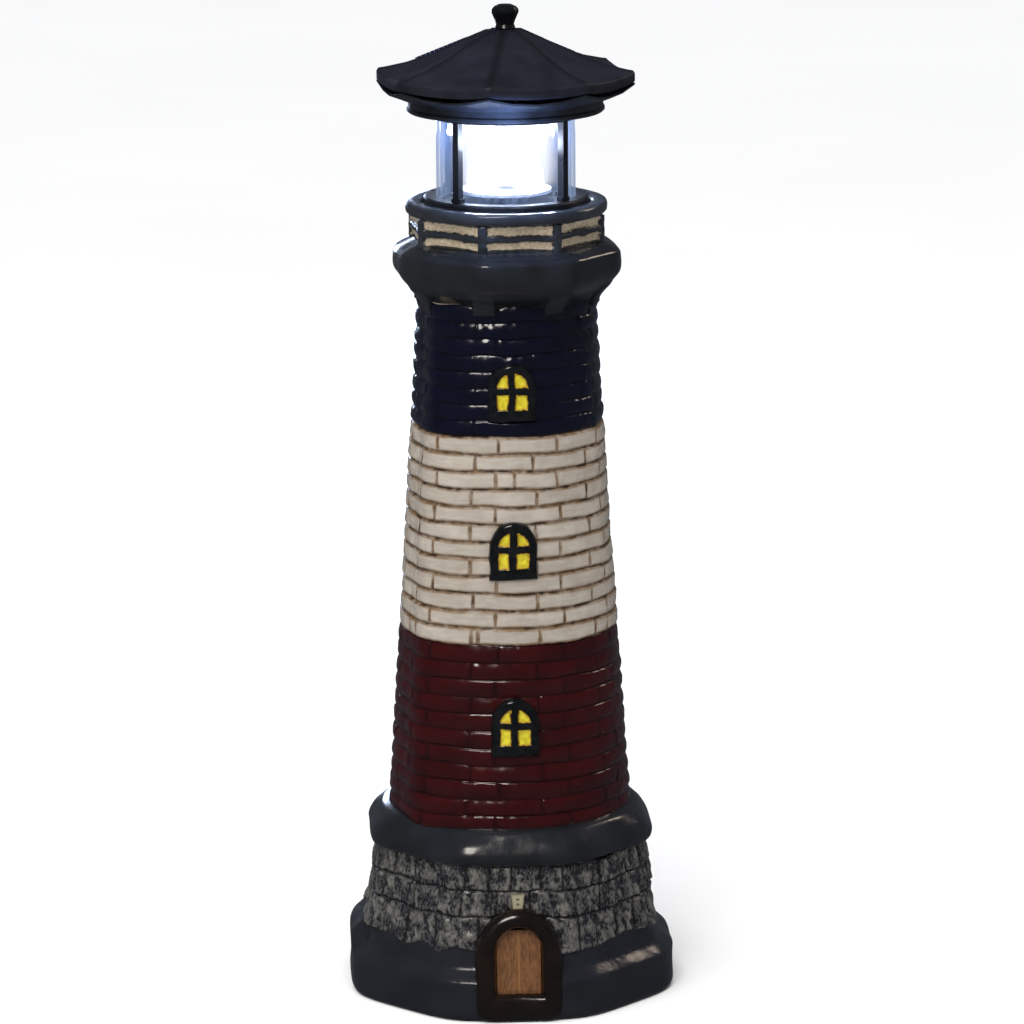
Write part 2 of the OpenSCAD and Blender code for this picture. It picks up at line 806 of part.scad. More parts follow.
module light_drum() {
    color("#1d2026") difference() {
        union() {
            // round drum with a rounded lip
            rotate_extrude() polygon([
                [0, drum_z],
                [drum_r - 0.2, drum_z],
                [drum_r + 0.5, drum_z + 0.6],
                [drum_r + 0.5, drum_z + 1.5],
                [drum_r, drum_z + 2.1],
                [drum_r, soffit_z + 0.8],
                [drum_r - drum_wall, soffit_z + 0.8],
                [drum_r - drum_wall, drum_floor_z],
                [0, drum_floor_z]
            ]);
            // soffit that spreads to the eaves
            around(roof_turn) loft([
                eave_ring(roof_r - 0.2, eave_z - lie_gap, eave_sag),
                eave_ring(roof_r - 0.6, eave_z - 0.9, eave_sag),
                round_ring(drum_r - 0.3, soffit_z - 0.4),
                round_ring(drum_r - drum_wall + 0.4, soffit_z + 0.6),
                eave_ring(roof_r - 3.2, eave_z - lie_gap, eave_sag)
            ], loop = true);
            // locating ribs for the lens and the bulb cover
            rib(lens_r - lens_wall - 0.4, 1.5);
            rib(bulb_r + 3.4, 1.2);
            // feet for the circuit board
            for (angle = [0, 120, 240])
                around(angle) translate([0, -board_r + 3, drum_z + 1])
                    cylinder(r = 2, h = board_z - lie_gap - drum_z - 1, $fn = 32);
        }
        roof_screw_places() {
            translate([0, 0, drum_z - 1]) cylinder(r = screw_head_r + 0.2, h = 1 + screw_sink, $fn = 32);
            translate([0, 0, drum_z - 1]) cylinder(r = screw_r + 0.2, h = 6, $fn = 32);
        }
        cage_places() translate([0, 0, drum_z - 1]) cylinder(r = peg_r + set_gap, h = 4, $fn = 32);
        around(lead_turn) translate([0, -lead_at, drum_z - 1]) cylinder(r = lead_r + near_gap, h = 4, $fn = 32);
        // way for the light's wires
        translate([0, 0, drum_z - 1]) cylinder(r = 1.5, h = 5);
    }
}

screw_sink = 1;

module rib(r, w) {
    translate([0, 0, drum_z - 1.7]) difference() {
        cylinder(r = r, h = 2);
        translate([0, 0, -1]) cylinder(r = r - w, h = 4);
    }
}

// Roof rings from the cap down to the edge of the eaves: [corner radius, height, sag of the sides]
roof_slope = [
    [cap_r, cap_z, 0],
    [roof_r * 0.154, cap_z - roof_rise * 0.05, 0],
    [roof_r * 0.361, cap_z - roof_rise * 0.335, eave_sag * 0.05],
    [roof_r * 0.565, cap_z - roof_rise * 0.635, eave_sag * 0.18],
    [roof_r * 0.768, cap_z - roof_rise * 0.85, eave_sag * 0.45],
    [roof_r * 0.943, cap_z - roof_rise * 0.97, eave_sag * 0.85]
];
roof_edge = [
    [roof_r, eave_top_z, eave_sag],
    [roof_r + 0.2, eave_top_z - 1, eave_sag],
    [roof_r, eave_z, eave_sag],
    [roof_r - roof_wall * flat_to_corner, eave_z, eave_sag]
];
roof_boss_r = 2.5;

module roof_shell() {
    under = [for (i = [len(roof_slope) - 1:-1:0]) roof_slope[i] - [0, roof_wall, 0]];
    color("#24252d") difference() {
        union() {
            around(roof_turn) loft([for (p = concat(roof_slope, roof_edge, under)) eave_ring(p[0], p[1], p[2])]);
            roof_screw_places() translate([0, 0, drum_floor_z + lie_gap])
                cylinder(r = roof_boss_r, h = cap_z - roof_rise * 0.856 - drum_floor_z, $fn = 48);
            translate([0, 0, cap_z - stud_h - 1.5]) cylinder(r = cap_r - 0.4, h = stud_h, $fn = 48);
        }
        roof_screw_places() translate([0, 0, drum_floor_z])
            cylinder(r = screw_r + run_gap, h = 8, $fn = 32);
        translate([0, 0, cap_z - stud_h - 1]) cylinder(r = stud_r + run_gap, h = stud_h + 2, $fn = 32);
        for (k = cell_sides) cell_place(k) cell_plate(0.15, cell_h + lie_gap, 4);
    }
}

module roof_screws() {
    color("#8c8c8c") roof_screw_places()
        translate([0, 0, drum_z + screw_sink - lie_gap / 2]) screw(roof_screw_l);
}

stud_r = 1.2;
stud_h = 4;

module finial() {
    z = cap_z + lie_gap;
    color("#14151a") rotate_extrude() polygon([
        [0, z - stud_h],
        [stud_r, z - stud_h],
        [stud_r, z],
        [cap_r + 0.2, z],
        [cap_r - 0.3, z + 1.2],
        [cap_r + 0.1, z + 2.6],
        [finial_r - 0.5, z + 4.4],
        [finial_r, z + 5.6],
        [finial_r, z + 6.6],
        [finial_r - 0.8, z + 7.6],
        [finial_r * 0.5, z + finial_h - 0.2],
        [0, z + finial_h]
    ]);
}

// The three roof sides at the back carry the solar cells
cell_sides = [3, 4, 5];
cell_h = 1.4;
cell_proud = 0.5;
cell_a = roof_r * 0.47;
cell_slope = atan2(roof_rise * (0.85 - 0.335), roof_r * (0.768 - 0.361) / flat_to_corner);
cell_z = cap_z - roof_rise * 0.335 - (cell_a - roof_r * 0.361 / flat_to_corner) * tan(cell_slope);

module cell_place(k) {
    around(roof_turn + 360 / sides * k)
        translate([0, -cell_a, cell_z])
            rotate([cell_slope, 0, 0])
                children();
}

// Tapered plate of one cell, lying below its own top face
module cell_plate(grow, depth, above) {
    run = cell_l / 2 * cos(cell_slope);
    half_in = (cell_a - run) * tan(180 / sides) - 1.5 + grow;
    half_out = (cell_a + run) * tan(180 / sides) - 1.5 + grow;
    translate([0, 0, cell_proud - depth]) linear_extrude(height = depth + above) polygon([
        [-half_out, -cell_l / 2 - grow],
        [half_out, -cell_l / 2 - grow],
        [half_in, cell_l / 2 + grow],
        [-half_in, cell_l / 2 + grow]
    ]);
}

module solar_cells() {
    color("#1a2140") for (k = cell_sides) cell_place(k) cell_plate(0, cell_h, 0);
}

// ---- light and turning beacon ----

bulb_wall = 1.2;

module bulb_cover() {
    top = drum_z - 0.2;
    centre = drum_z - bulb_h + bulb_r;
    color("#f4f7ff") difference() {
        union() {
            translate([0, 0, centre]) cylinder(r = bulb_r, h = top - centre);
            translate([0, 0, centre]) sphere(r = bulb_r);
            translate([0, 0, top - 1.2]) cylinder(r = bulb_r + 1.9, h = 1.2);
        }
        translate([0, 0, centre]) cylinder(r = bulb_r - bulb_wall, h = top - centre + 1);
        translate([0, 0, centre]) sphere(r = bulb_r - bulb_wall);
    }
}

module led_board() {
    color("#e9ece6") translate([0, 0, drum_z - 1.3]) difference() {
        cylinder(r = bulb_r - bulb_wall - 1.2, h = 1.2);
        translate([0, 0, -1]) cylinder(r = 1.2, h = 4, $fn = 32);
    }
}

module led() {
    color("#fff6c8") translate([0, 0, drum_z - 1.3 - lie_gap]) mirror([0, 0, 1]) union() {
        cylinder(r = 2.9, h = 1);
        cylinder(r = 2.5, h = 3.2);
        translate([0, 0, 3.2]) sphere(r = 2.5, $fn = 48);
    }
}

// Spur gears with involute flanks and short teeth; backlash is measured along the pitch circle
backlash = 0.1;

function involute(r, base_r) = let (a = acos(min(1, base_r / r))) tan(a) * 180 / PI - a;

function tooth_half(r, pitch_r, base_r, teeth) =
    90 / teeth - backlash / 2 / pitch_r * 180 / PI
    + involute(pitch_r, base_r) - involute(max(r, base_r), base_r);

function gear_points(teeth) =
    let (
        pitch_r = gear_module * teeth / 2,
        base_r = pitch_r * cos(20),
        tip_r = pitch_r + gear_module * 0.8,
        root_r = pitch_r - gear_module * 1.15,
        radii = [root_r, max(base_r, root_r + 0.05), pitch_r, tip_r]
    )
    [
        for (k = [0:teeth - 1])
            let (mid = 360 / teeth * k)
            each concat(
                [for (r = radii) let (a = mid - tooth_half(r, pitch_r, base_r, teeth)) [r * cos(a), r * sin(a)]],
                [for (i = [3:-1:0]) let (r = radii[i], a = mid + tooth_half(r, pitch_r, base_r, teeth)) [r * cos(a), r * sin(a)]]
            )
    ];

module beacon_turntable() {
    color("#c9ccd2") difference() {
        union() {
            translate([0, 0, gear_z]) rotate([0, 0, 90]) linear_extrude(height = gear_h)
                polygon(gear_points(beacon_teeth));
            translate([0, 0, deck_top_z + near_gap]) cylinder(r = hub_r, h = disc_z + disc_h + 0.3 - deck_top_z - near_gap);
            translate([0, 0, disc_z]) cylinder(r = disc_r, h = disc_h);
        }
        translate([0, 0, deck_top_z - 1]) cylinder(r = spindle_r + run_gap, h = 12);
    }
}

mirror_t = 1;
mirror_z = disc_z + disc_h;

module beacon_reflector() {
    high = drum_z - 3.4;
    color("#f0f2f5") rotate([0, 0, 90 - mirror_sweep / 2]) rotate_extrude(angle = mirror_sweep)
        translate([mirror_r, mirror_z]) square([mirror_t, high - mirror_z]);
}

spindle_top_z = disc_z + disc_h + 1;

module spindle() {
    color("#b9bcc0") union() {
        translate([0, 0, deck_z - 3 - 1.1]) cylinder(r = 2.6, h = 1);
        translate([0, 0, deck_z - 3 - 1.1]) cylinder(r = spindle_r, h = spindle_top_z - deck_z + 4.1);
    }
}

module spindle_clip() {
    color("#8a8d90") translate([0, 0, disc_z + disc_h + 0.3 + lie_gap]) difference() {
        cylinder(r = 2.8, h = 0.4);
        translate([0, 0, -1]) cylinder(r = spindle_r + set_gap, h = 3);
    }
}

module pinion() {
    color("#d8b34a") translate([0, gear_d, 0]) difference() {
        translate([0, 0, gear_z]) rotate([0, 0, -90 + 180 / pinion_teeth]) linear_extrude(height = gear_h)
            polygon(gear_points(pinion_teeth));
        translate([0, 0, gear_z - 1]) cylinder(r = shaft_pin_r + set_gap, h = 5);
    }
}

motor_top_z = deck_z - lie_gap * 2;
motor_bore_d = 6;

module motor_shaft() {
    color("#c8cacc") translate([0, gear_d, motor_top_z - motor_bore_d + 0.2])
        cylinder(r = shaft_pin_r, h = gear_z + gear_h + 0.1 - motor_top_z + motor_bore_d - 0.2);
}

module motor() {
    color("#a6a9ad") translate([0, gear_d, motor_top_z - motor_h]) difference() {
        intersection() {
            cylinder(r = motor_r, h = motor_h);
            translate([-motor_r - 1, -6.4, -1]) cube([2 * motor_r + 2, 12.8, motor_h + 2]);
        }
        translate([0, 0, motor_h - motor_bore_d]) cylinder(r = shaft_pin_r + run_gap, h = motor_bore_d + 1);
    }
}

// ---- power ----

chip_w = 7;
chip_h = 1.6;
can_r = 3;
can_h = 5.5;

module circuit_board() {
    color("#1f6b3a") translate([0, 0, board_z]) {
        difference() {
            cylinder(r = board_r, h = board_h);
            translate([0, 0, -1]) cylinder(r = 1.5, h = 4);
        }
        translate([4, -4, board_h - eps]) cube([chip_w, chip_w, chip_h]);
        translate([-9, 2, board_h - eps]) cylinder(r = can_r, h = can_h);
    }
}

// Two-core lead from the board in the roof to the battery in the cup
module power_lead() {
    low = battery_z + 2.5;
    contact = [bay_x - 0.45 - contact_t / 2, battery_y + contact_w / 2 + 0.2];
    x = lead_at * sin(lead_turn);
    y = -lead_at * cos(lead_turn);
    color("#b03028") union() {
        translate([x, y, low]) cylinder(r = lead_r, h = board_z - lie_gap - low, $fn = 24);
        translate([x, y, low]) sphere(r = lead_r, $fn = 24);
        between([x, y], contact, low);
    }
}

// Level wire between two places at a height
module between(p, q, z) {
    length = norm(p - q);
    translate([p[0], p[1], z])
        rotate([0, 0, atan2(q[1] - p[1], q[0] - p[0])])
            rotate([0, 90, 0])
                cylinder(r = lead_r, h = length, $fn = 24);
}

module battery() {
    color("#2f8f4e") translate([0, battery_y, battery_z]) rotate([0, 90, 0]) union() {
        translate([0, 0, -battery_l / 2]) cylinder(r = battery_r, h = battery_l - 1.2);
        translate([0, 0, battery_l / 2 - 1.3]) cylinder(r = 2.8, h = 1.3);
    }
}

contact_w = 8;
contact_h = 13;

module battery_contacts() {
    color("#d0c58a") for (side = [-1, 1])
        translate([side * (bay_x - 0.2 - contact_t / 2) - contact_t / 2, battery_y - contact_w / 2, cup_z + 2.6])
            cube([contact_t, contact_w, contact_h]);
}

module battery_cover() {
    color("#26282c") difference() {
        union() {
            translate([-bay_x + near_gap, battery_y - bay_w / 2 + near_gap, cup_z])
                cube([2 * (bay_x - near_gap), bay_w - 2 * near_gap, 2.2]);
            for (side = [-1, 1])
                translate([side * bay_x - tab_l, battery_y - tab_w / 2, cup_z])
                    cube([2 * tab_l, tab_w, tab_h]);
        }
        for (side = [-1, 1])
            translate([side * cover_screw_x, battery_y, cup_z - 1]) cylinder(r = screw_r + 0.2, h = 4, $fn = 32);
    }
}

module cover_screws() {
    color("#9a9a9a") for (side = [-1, 1])
        translate([side * cover_screw_x, battery_y, cup_z - lie_gap / 2]) screw(cup_floor - 0.6);
}

body_l = 9;
body_w = 5;
body_h = 4.6;

module switch_body() {
    color("#3a3c40") translate([0, switch_y, cup_floor_z + lie_gap]) difference() {
        translate([-body_l / 2, -body_w / 2, 0]) cube([body_l, body_w, body_h]);
        translate([-(stem_l + switch_travel) / 2 - 0.3, -stem_w / 2 - 0.2, -1])
            cube([stem_l + switch_travel + 0.6, stem_w + 0.4, 3.4]);
    }
}

module switch_knob() {
    color("#e8e8e8") translate([-switch_travel / 2, switch_y, 0]) union() {
        translate([-knob_l / 2, -knob_w / 2, cup_z - 0.4]) cube([knob_l, knob_w, cup_floor + 0.3]);
        translate([-stem_l / 2, -stem_w / 2, cup_floor_z - 0.2]) cube([stem_l, stem_w, 2.1]);
    }
}

tower_casting();
seat_ring();
lamp_cup();
lamp_deck();
deck_screws();
lens();
lantern_cage();
light_drum();
roof_shell();
roof_screws();
finial();
solar_cells();
bulb_cover();
led_board();
led();
beacon_turntable();
beacon_reflector();
spindle();
spindle_clip();
pinion();
motor_shaft();
motor();
circuit_board();
power_lead();
battery();
battery_contacts();
battery_cover();
cover_screws();
switch_body();
switch_knob();
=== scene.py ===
import bmesh
import bpy, math
import numpy as np
from mathutils import Matrix, Vector


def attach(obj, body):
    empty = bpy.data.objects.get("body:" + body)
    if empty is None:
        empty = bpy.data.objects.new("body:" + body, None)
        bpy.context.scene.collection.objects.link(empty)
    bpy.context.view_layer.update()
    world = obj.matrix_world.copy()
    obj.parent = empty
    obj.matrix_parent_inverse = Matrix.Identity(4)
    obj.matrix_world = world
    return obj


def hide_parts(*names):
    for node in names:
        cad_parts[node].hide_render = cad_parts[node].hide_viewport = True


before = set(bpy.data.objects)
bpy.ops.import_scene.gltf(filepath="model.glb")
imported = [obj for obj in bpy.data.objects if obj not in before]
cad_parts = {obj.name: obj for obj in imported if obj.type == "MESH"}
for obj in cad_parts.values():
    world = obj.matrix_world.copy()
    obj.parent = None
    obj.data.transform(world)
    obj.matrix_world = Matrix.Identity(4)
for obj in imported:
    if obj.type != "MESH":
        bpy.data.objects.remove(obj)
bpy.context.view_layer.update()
scene = bpy.context.scene
scene.view_settings.view_transform = "Standard"
print("frame loaded:", len(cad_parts), "nodes")

# Angles round the tower are counted from the door, at -Y, towards +X. Lengths below are in mm.
tower = {
    "plinthHalf": 60.9, "stoneZ": 25.5, "collarZ": 56.5, "shaftZ": 68.0,
    "whiteZ": 137.2, "blueZ": 214.1, "neckZ": 262.0,
    "shaftLow": 45.5, "shaftTop": 33.1, "bow": 1.15,
    "stoneHalf": 53.5, "stoneTopHalf": 49.8,
}


# eased step: 3t^2 - 2t^3 between 0 and 1
def ease(t):
    t = np.clip(t, 0.0, 1.0)
    return t * t * (3.0 - 2.0 * t)


# quarter-circle rise from 0 to 1
def rounded(t):
    t = np.clip(t, 0.0, 1.0)
    return np.sqrt(np.maximum(0.0, 1.0 - (1.0 - t) ** 2))


# value noise: seeded random heights on a lattice, blended with an eased weight; u repeats after wrap cells
def softNoise(u, v, seed, wrap=0):
    table = np.random.default_rng(seed).uniform(-1.0, 1.0, (257, 257))
    iu, iv = np.floor(u).astype(int), np.floor(v).astype(int)
    fu, fv = ease(u - iu), ease(v - iv)

    def at(a, b):
        if wrap:
            a = np.mod(a, wrap)
        return table[np.mod(a, 257), np.mod(b, 257)]

    low = at(iu, iv) * (1 - fu) + at(iu + 1, iv) * fu
    high = at(iu, iv + 1) * (1 - fu) + at(iu + 1, iv + 1) * fu
    return low * (1 - fv) + high * fv


# softened octagon: half width over the 'sharp'-norm of the cosines to its eight sides
def octagon(turn, sharp, phi):
    total = np.zeros_like(phi)
    for k in range(8):
        total = total + np.maximum(np.cos(phi - math.radians(turn + 45 * k)), 0.0) ** sharp
    return total ** (-1.0 / sharp)


# point on the tower's round: (r sin phi, -r cos phi, z)
def onRound(r, phi, z):
    r, phi, z = np.broadcast_arrays(r, phi, z)
    return np.stack([r * np.sin(phi), -r * np.cos(phi), z], axis=-1)


# mesh of a grid of points in mm: quads between neighbours; around and over join its last line to its first
def gridPiece(name, points, materials, around=True, over=True, attributes=None, slots=None, weld=False):
    rows, columns = points.shape[:2]
    index = np.arange(rows * columns).reshape(rows, columns)
    right = np.roll(index, -1, axis=1) if around else index[:, 1:]
    here = index if around else index[:, :-1]
    upRight = np.roll(right, -1, axis=0) if over else right[1:]
    upHere = np.roll(here, -1, axis=0) if over else here[1:]
    if not over:
        right, here = right[:-1], here[:-1]
    quads = np.stack([here, right, upRight, upHere], axis=-1).reshape(-1, 4)
    mesh = bpy.data.meshes.new(name)
    mesh.vertices.add(rows * columns)
    mesh.vertices.foreach_set("co", (points.reshape(-1) * 0.001).astype(np.float32))
    mesh.loops.add(quads.size)
    mesh.loops.foreach_set("vertex_index", quads.reshape(-1).astype(np.int32))
    mesh.polygons.add(len(quads))
    mesh.polygons.foreach_set("loop_start", np.arange(0, quads.size, 4, dtype=np.int32))
    if slots is not None:
        perRow = np.repeat(np.asarray(slots[:here.shape[0]], dtype=np.int32), here.shape[1])
        mesh.polygons.foreach_set("material_index", perRow)
    mesh.update(calc_edges=True)
    for key, values in (attributes or {}).items():
        layer = mesh.attributes.new(key, "FLOAT", "POINT")
        layer.data.foreach_set("value", values.reshape(-1).astype(np.float32))
    if weld:
        work = bmesh.new()
        work.from_mesh(mesh)
        bmesh.ops.remove_doubles(work, verts=work.verts, dist=2e-6)
        bmesh.ops.dissolve_degenerate(work, edges=work.edges, dist=1e-7)
        work.to_mesh(mesh)
        work.free()
    mesh.polygons.foreach_set("use_smooth", np.full(len(mesh.polygons), True))
    piece = bpy.data.objects.new(name, mesh)
    scene.collection.objects.link(piece)
    for material in materials:
        mesh.materials.append(material)
    return piece


# inner wall of the hollow casting: radius by height, straight between these levels
hollow = {
    "z": [0, 13, 25.5, 56.5, 60, 68, 137.2, 214.1, 252, 258, 292.2],
    "r": [54.4, 54.4, 48.5, 44.8, 44.8, 40.5, 36.0, 31.0, 27.8, 26.4, 26.4],
}


def hollowAt(z):
    return np.interp(z, hollow["z"], hollow["r"])


# closed ring of the casting: the outer skin upwards, then the hollow's wall back down; the wall takes slot 1
def castRing(name, phi, z, r, materials, attributes=None, innerTop=None, innerLow=None):
    top = float(np.mean(z[-1])) if innerTop is None else innerTop
    low = float(np.mean(z[0])) if innerLow is None else innerLow
    levels = np.array([top] + [v for v in hollow["z"][::-1] if low + 0.5 < v < top - 0.5] + [low])
    innerZ = np.repeat(levels[:, None], len(phi), axis=1)
    innerR = np.repeat(hollowAt(levels)[:, None], len(phi), axis=1)
    points = onRound(np.vstack([r, innerR]), phi[None, :], np.vstack([z, innerZ]))
    slots = [0] * (len(z) - 1) + [1] * (len(levels) + 1)
    padded = {}
    for key, values in (attributes or {}).items():
        padded[key] = np.vstack([values, np.repeat(values[-1:], len(levels), axis=0)])
    return gridPiece(name, points, materials, attributes=padded, slots=slots)


# radius of the round tower by height: straight taper with a slight hollow
def shaftAt(z):
    t = np.clip(1 - (z - tower["shaftZ"]) / (tower["neckZ"] - tower["shaftZ"]), 0, None)
    return tower["shaftTop"] + (tower["shaftLow"] - tower["shaftTop"]) * t ** tower["bow"]


# the real casting swells on one side, left of the windows
def swell(phi):
    turn = np.degrees(phi)
    return 2.9 * ease((-turn - 8) / 42) * ease((turn + 70) / 22)


# sRGB hex colour to linear light, by the sRGB curve
def linear(hexColour):
    values = [int(hexColour[i:i + 2], 16) / 255 for i in (1, 3, 5)]
    return [v / 12.92 if v <= 0.04045 else ((v + 0.055) / 1.055) ** 2.4 for v in values] + [1.0]


# adds one node with its settings and links: an input is a value, a hex colour or another node's output
def add(tree, kind, inputs=None, out=0, **settings):
    made = tree.nodes.new("ShaderNode" + kind)
    for key, value in settings.items():
        setattr(made, key, value)
    for key, value in (inputs or {}).items():
        if isinstance(value, bpy.types.NodeSocket):
            tree.links.new(value, made.inputs[key])
        else:
            made.inputs[key].default_value = linear(value) if isinstance(value, str) else value
    return made if out is None else made.outputs[out]


# a noise scale of mm / s gives blotches s millimetres across
mm = 1000.0


# two colours in blotches sizeMm across: noise from low to high goes from the first to the second
def mottled(tree, place, sizeMm, detail, low, high, first, second):
    cloud = add(tree, "TexNoise", {"Vector": place, "Scale": mm / sizeMm, "Detail": detail})
    share = add(tree, "MapRange", {0: cloud, 1: low, 2: high})
    return add(tree, "Mix", {0: share, 6: first, 7: second}, 2, data_type="RGBA")


# empty material; endMaterial puts the shader in
def startMaterial(name):
    material = bpy.data.materials.new(name)
    material.use_nodes = True
    tree = material.node_tree
    tree.nodes.clear()
    return material, tree, add(tree, "TexCoord", out="Object")


def endMaterial(material, inputs):
    tree = material.node_tree
    shader = add(tree, "BsdfPrincipled", inputs)
    add(tree, "OutputMaterial", {"Surface": shader}, out=None)
    return material


# depths are in metres, as the bump's distance is
glazeLook = {
    "rough": 0.2, "cloudMm": 14.0, "rippleMm": 5.0, "rippleDepth": 0.00016,
    "pinMm": 0.9, "pinDepth": 0.000025,
}


# Earthenware glaze, brushed on and fired, mottled between its body and edge colours, with wavy gloss; darker
# where the joint mark is set: real dark joints between bricks, and painted shade under the gallery slab
def glaze(name, jointAndShadeColour, body, edge, jointName="joint"):
    s = glazeLook
    material, tree, place = startMaterial(name)
    tone = mottled(tree, place, s["cloudMm"], 4, 0.35, 0.65, body, edge)
    # the joint mark darkens the colour: in real joints, and as painted shade where a piece marks shade
    jointsAndShade = add(tree, "Attribute", out="Fac", attribute_name=jointName)
    jointsAndShade = add(tree, "Math", {0: jointsAndShade, 1: 0.7}, operation="MULTIPLY")
    colour = add(tree, "Mix", {0: jointsAndShade, 6: tone, 7: jointAndShadeColour}, 2, data_type="RGBA")
    uneven = add(tree, "TexNoise", {"Vector": place, "Scale": mm / 6, "Detail": 3})
    rough = add(tree, "MapRange", {0: uneven, 1: 0.3, 2: 0.7, 3: s["rough"] * 0.75, 4: s["rough"] * 1.35})
    ripple = add(tree, "TexNoise", {"Vector": place, "Scale": mm / s["rippleMm"]})
    wavy = add(tree, "Bump", {"Height": ripple, "Distance": s["rippleDepth"], "Strength": 0.8})
    pin = add(tree, "TexNoise", {"Vector": place, "Scale": mm / s["pinMm"]})
    wavy = add(tree, "Bump", {"Height": pin, "Distance": s["pinDepth"], "Strength": 0.5, "Normal": wavy})
    return endMaterial(material, {
        "Base Color": colour, "Roughness": rough, "IOR": 1.5, "Normal": wavy,
        "Coat Weight": 0.35, "Coat Roughness": 0.07, "Coat IOR": 1.5})


# White glaze with a brown wash wiped off the faces and left in the joints
def washedGlaze(name):
    material, tree, place = startMaterial(name)
    face = mottled(tree, place, 9, 4, 0.3, 0.7, "#a59b8f", "#b8afa4")
    tone = add(tree, "Attribute", out="Fac", attribute_name="tone")
    tone = add(tree, "MapRange", {0: tone, 3: 0.0, 4: 0.45})
    face = add(tree, "Mix", {0: tone, 6: face, 7: "#988e81"}, 2, data_type="RGBA")
    # brush marks run along the courses
    along = add(tree, "Mapping", {"Vector": place, "Scale": (1 / 6, 1 / 6, 1)})
    brush = add(tree, "TexNoise", {"Vector": along, "Scale": mm / 1.1, "Detail": 3})
    pale = add(tree, "MapRange", {0: brush, 1: 0.45, 2: 0.75, 3: 0.0, 4: 0.35})
    face = add(tree, "Mix", {0: pale, 6: face, 7: "#c9c2b7"}, 2, data_type="RGBA")
    joint = add(tree, "Attribute", out="Fac", attribute_name="joint")
    patchy = add(tree, "TexNoise", {"Vector": place, "Scale": mm / 3.2, "Detail": 4})
    patchy = add(tree, "MapRange", {0: patchy, 1: 0.3, 2: 0.62, 3: 0.45, 4: 1.0})
    share = add(tree, "MapRange", {0: joint, 1: 0.12, 2: 0.6})
    wash = add(tree, "Math", {0: share, 1: patchy}, operation="MULTIPLY")
    colour = add(tree, "Mix", {0: wash, 6: face, 7: "#745a3c"}, 2, data_type="RGBA")
    # dark blotches deep in the joints are painted shade under the bricks
    shadeBlotches = add(tree, "TexNoise", {"Vector": place, "Scale": mm / 4.5, "Detail": 4})
    shadeBlotches = add(tree, "MapRange", {0: shadeBlotches, 1: 0.48, 2: 0.62})
    share = add(tree, "MapRange", {0: joint, 1: 0.5, 2: 0.85})
    jointShade = add(tree, "Math", {0: share, 1: shadeBlotches}, operation="MULTIPLY")
    colour = add(tree, "Mix", {0: jointShade, 6: colour, 7: "#3b2a1c"}, 2, data_type="RGBA")
    rough = add(tree, "MapRange", {0: joint, 3: 0.22, 4: 0.55})
    ripple = add(tree, "TexNoise", {"Vector": place, "Scale": mm / 4, "Detail": 3})
    wavy = add(tree, "Bump", {"Height": ripple, "Distance": 0.0002, "Strength": 0.8})
    wavy = add(tree, "Bump", {"Height": brush, "Distance": 0.00003, "Strength": 0.5, "Normal": wavy})
    return endMaterial(material, {
        "Base Color": colour, "Roughness": rough, "IOR": 1.5, "Normal": wavy,
        "Coat Weight": 0.3, "Coat Roughness": 0.1, "Coat IOR": 1.5})


# Slate glaze on stonework, with cream paint dry-brushed over its high spots
def dryBrushed(name):
    material, tree, place = startMaterial(name)
    slate = mottled(tree, place, 16, 3, 0.4, 0.62, "#1f2025", "#1a1b20")
    upright = add(tree, "Mapping", {"Vector": place, "Scale": (1, 1, 1 / 1.8)})
    strokes = add(tree, "TexNoise", {"Vector": upright, "Scale": mm / 0.8, "Detail": 5})
    rise = add(tree, "Attribute", out="Fac", attribute_name="rise")
    catch = add(tree, "Math", {0: strokes, 1: 2.6}, operation="MULTIPLY")
    catch = add(tree, "Math", {0: rise, 1: catch}, operation="ADD")
    # the plinth under the stones stays unpainted
    stony = add(tree, "Attribute", out="Fac", attribute_name="stony")
    paint = add(tree, "MapRange", {0: catch, 1: 1.25, 2: 2.3, 3: 0.0, 4: 0.68})
    paint = add(tree, "Math", {0: paint, 1: stony}, operation="MULTIPLY")
    patches = add(tree, "TexNoise", {"Vector": place, "Scale": mm / 6})
    cream = add(tree, "Mix", {0: patches, 6: "#5f5e5b", 7: "#98948a"}, 2, data_type="RGBA")
    colour = add(tree, "Mix", {0: paint, 6: slate, 7: cream}, 2, data_type="RGBA")
    joint = add(tree, "Attribute", out="Fac", attribute_name="joint")
    colour = add(tree, "Mix", {0: joint, 6: colour, 7: "#0b0c0f"}, 2, data_type="RGBA")
    rough = add(tree, "MapRange", {0: paint, 1: 0.0, 2: 0.64, 3: 0.2, 4: 0.5})
    pitted = add(tree, "TexNoise", {"Vector": place, "Scale": mm / 3, "Detail": 4})
    wavy = add(tree, "Bump", {"Height": pitted, "Distance": 0.00035, "Strength": 0.8})
    wavy = add(tree, "Bump", {"Height": strokes, "Distance": 0.00012, "Strength": 0.6, "Normal": wavy})
    return endMaterial(material, {
        "Base Color": colour, "Roughness": rough, "IOR": 1.5, "Normal": wavy,
        "Coat Weight": 0.3, "Coat Roughness": 0.1, "Coat IOR": 1.5})


